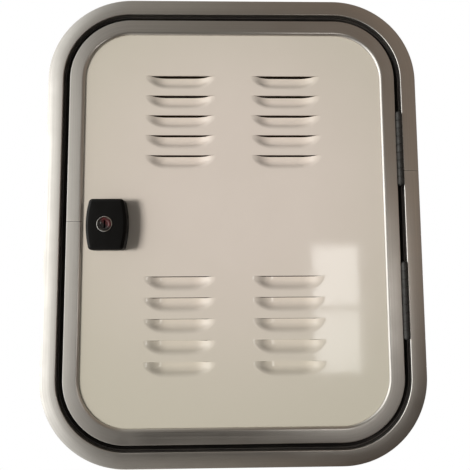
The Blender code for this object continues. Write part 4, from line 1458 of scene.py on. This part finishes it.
worldLook = {
    "ambient": (0.075, 0.068, 0.062),
    "ambientAbove": 0.4,  # share of it from straight above
    "ambientRise": (-0.1, 0.8),  # heights between which it goes over
    "brightness": 4.0,
    "openReach": (0.1, 0.35),  # directions past the object, where mirrored rays see the white
    # degrees round from the front, towards the right: colour of the room there
    "room": (
        (-180, (0.08, 0.078, 0.075)),
        (-115, (0.30, 0.30, 0.295)),
        (-80, (0.68, 0.69, 0.68)),
        (-44, (0.72, 0.73, 0.72)),
        (-36, (0.42, 0.42, 0.40)),
        (-27, (0.143, 0.136, 0.126)),
        (-20, (0.096, 0.090, 0.082)),
        (-14, (0.074, 0.068, 0.061)),
        (-8, (0.057, 0.054, 0.048)),
        (0, (0.050, 0.046, 0.040)),
        (8, (0.044, 0.037, 0.031)),
        (25, (0.054, 0.042, 0.0325)),
        (38, (0.080, 0.062, 0.048)),
        (60, (0.070, 0.060, 0.051)),
        (110, (0.060, 0.053, 0.046)),
        (180, (0.080, 0.078, 0.075)),
    ),
    # height of the direction, from -1 straight down to 1 straight up: share of the light there
    "leftSide": ((-1, 0.3), (-0.62, 0.42), (-0.45, 0.65), (-0.30, 0.92), (0.28, 1.0), (0.42, 0.75),
                 (0.62, 0.55), (0.82, 0.40), (1, 0.3)),
    "ahead": ((-1, 1.4), (-0.60, 1.6), (-0.50, 0.05), (-0.40, 0.0), (-0.20, 0.0), (-0.08, 0.65),
              (0.30, 1.0), (0.48, 0.7), (0.58, 0.8), (0.66, 1.4), (1, 1.5)),
    "rightSide": ((-1, 0.4), (-0.50, 0.25), (-0.30, 0.20), (-0.15, 0.50), (-0.07, 0.66), (0.01, 1.15),
                  (0.30, 0.9), (1, 1.0)),
    "leftFrom": (-24, -12),  # degrees round, where the one goes over into the next
    "rightFrom": (8, 22),
}


def stageMaterial(name, colour, rough, **constants):
    material, tree, shader, place = newMaterial(name, Roughness=rough, **constants)
    shader.inputs["Base Color"].default_value = (*colour, 1)
    return material, tree, shader.outputs[0], place


def buildStage():
    look = stageLook
    bm = bmesh.new()
    half = look["floorSize"] / 2
    z = wallLow.z - look["floorDrop"]
    bm.faces.new([bm.verts.new((x * half, y * half, z)) for x, y in ((-1, -1), (1, -1), (1, 1), (-1, 1))])
    floor = placeObject("floor", meshOf("floor", bm))
    material, tree, plain, place = stageMaterial("paleFloor", look["floorColour"], 0.9)
    white = nodeOf(tree, "ShaderNodeEmission").outputs[0]
    seen = nodeOf(tree, "ShaderNodeLightPath").outputs["Is Camera Ray"]
    away = spread(tree, vectorSum(tree, "LENGTH", place), *look["fadeReach"], look["floorWhite"], 1.0)
    mixed = mixShaders(tree, sums(tree, "MULTIPLY", seen, away), plain, white)
    feed(tree, tree.nodes["Material Output"].inputs["Surface"], mixed)
    floor.data.materials.append(material)
    floor.visible_glossy = False  # the metal shows the room's own lower half instead
    floor.visible_shadow = False


def buildInsideShadeCard():
    # A card of painted shade for the locker's inside, at the back of the mouth, seen only from in front;
    # from behind it is clear.
    bm = bmesh.new()
    y = wallHigh.y - stageLook["shadeCardInset"]
    edge = frameIn + wallFrameLook["webThickness"] / 2
    stations = ringStations(stageLook["shadeCardCornerSteps"])
    face = bm.faces.new([bm.verts.new(onRing(station, edge, y)) for station in stations])
    face.normal_update()
    if face.normal.y > 0:
        face.normal_flip()
    card = placeObject("insideShadeCard", meshOf("insideShadeCard", bm))
    noGloss = {"Specular IOR Level": 0.0}
    material, tree, paintedShade, _ = stageMaterial("insideShadeCard", stageLook["insideShadeColour"], 1.0, **noGloss)
    clear = nodeOf(tree, "ShaderNodeBsdfTransparent").outputs[0]
    behind = nodeOf(tree, "ShaderNodeNewGeometry").outputs["Backfacing"]
    feed(tree, tree.nodes["Material Output"].inputs["Surface"], mixShaders(tree, behind, paintedShade, clear))
    card.data.materials.append(material)
    card.visible_shadow = False
    card.visible_diffuse = False


def buildLamps():
    for name, lamp in lamps.items():
        data = bpy.data.lights.new(name, "AREA")
        data.shape = "RECTANGLE"
        data.size, data.size_y = lamp["size"]
        data.energy = lamp["power"]
        data.color = lamp["colour"]
        light = placeObject(name, data)
        light.location = lamp["from"]
        toAim = Vector(lamp["aim"]) - Vector(lamp["from"])
        light.rotation_euler = toAim.to_track_quat("-Z", "Y").to_euler()
        light.visible_camera = False
        light.visible_diffuse = "diffuse" in lamp["lights"]
        light.visible_glossy = "glossy" in lamp["lights"]


def background(tree, colour, strength):
    node = nodeOf(tree, "ShaderNodeBackground")
    feed(tree, node.inputs["Color"], colour)
    feed(tree, node.inputs["Strength"], strength)
    return node.outputs[0]


def buildWorld():
    # White for the camera, and for reflections that look past the object; a dim warm room in front.
    look = worldLook
    world = bpy.data.worlds.new("studio")
    bpy.context.scene.world = world
    world.use_nodes = True
    tree = world.node_tree
    tree.nodes.clear()
    axes = nodeOf(tree, "ShaderNodeSeparateXYZ")
    feed(tree, axes.inputs[0], nodeOf(tree, "ShaderNodeTexCoord").outputs["Generated"])
    x, y, z = axes.outputs
    around = sums(tree, "DEGREES", sums(tree, "ARCTAN2", x, sums(tree, "MULTIPLY", y, -1.0)))
    walls = [((degrees + 180) / 360, colour) for degrees, colour in look["room"]]
    colour = stopsOf(tree, spread(tree, around, -180.0, 180.0, smooth=False), walls)
    height = spread(tree, z, -1.0, 1.0, smooth=False)
    shades = []
    for side in ("leftSide", "ahead", "rightSide"):
        levels = [((level + 1) / 2, (share / 2,) * 3) for level, share in look[side]]
        shades.append(stopsOf(tree, height, levels))
    shade = blendColours(tree, spread(tree, around, *look["leftFrom"]), shades[0], shades[1])
    shade = blendColours(tree, spread(tree, around, *look["rightFrom"]), shade, shades[2])
    room = background(tree, colour, sums(tree, "MULTIPLY", shade, 2 * look["brightness"]))
    strength = spread(tree, z, *look["ambientRise"], 1.0, look["ambientAbove"])
    ambient = background(tree, (*look["ambient"], 1), strength)
    white = background(tree, (1, 1, 1, 1), 1.0)
    rays = nodeOf(tree, "ShaderNodeLightPath").outputs
    lit = mixShaders(tree, rays["Is Diffuse Ray"], room, ambient)
    mirrored = sums(tree, "MAXIMUM", rays["Is Glossy Ray"], rays["Is Transmission Ray"])
    pastObject = sums(tree, "MULTIPLY", mirrored, spread(tree, y, *look["openReach"]))
    clear = sums(tree, "MAXIMUM", rays["Is Camera Ray"], pastObject)
    end = nodeOf(tree, "ShaderNodeOutputWorld")
    feed(tree, end.inputs["Surface"], mixShaders(tree, clear, lit, white))


buildStage()
buildInsideShadeCard()
buildLamps()
buildWorld()
bpy.context.scene.view_settings.view_transform = "Standard"
print("stage and lamps set")
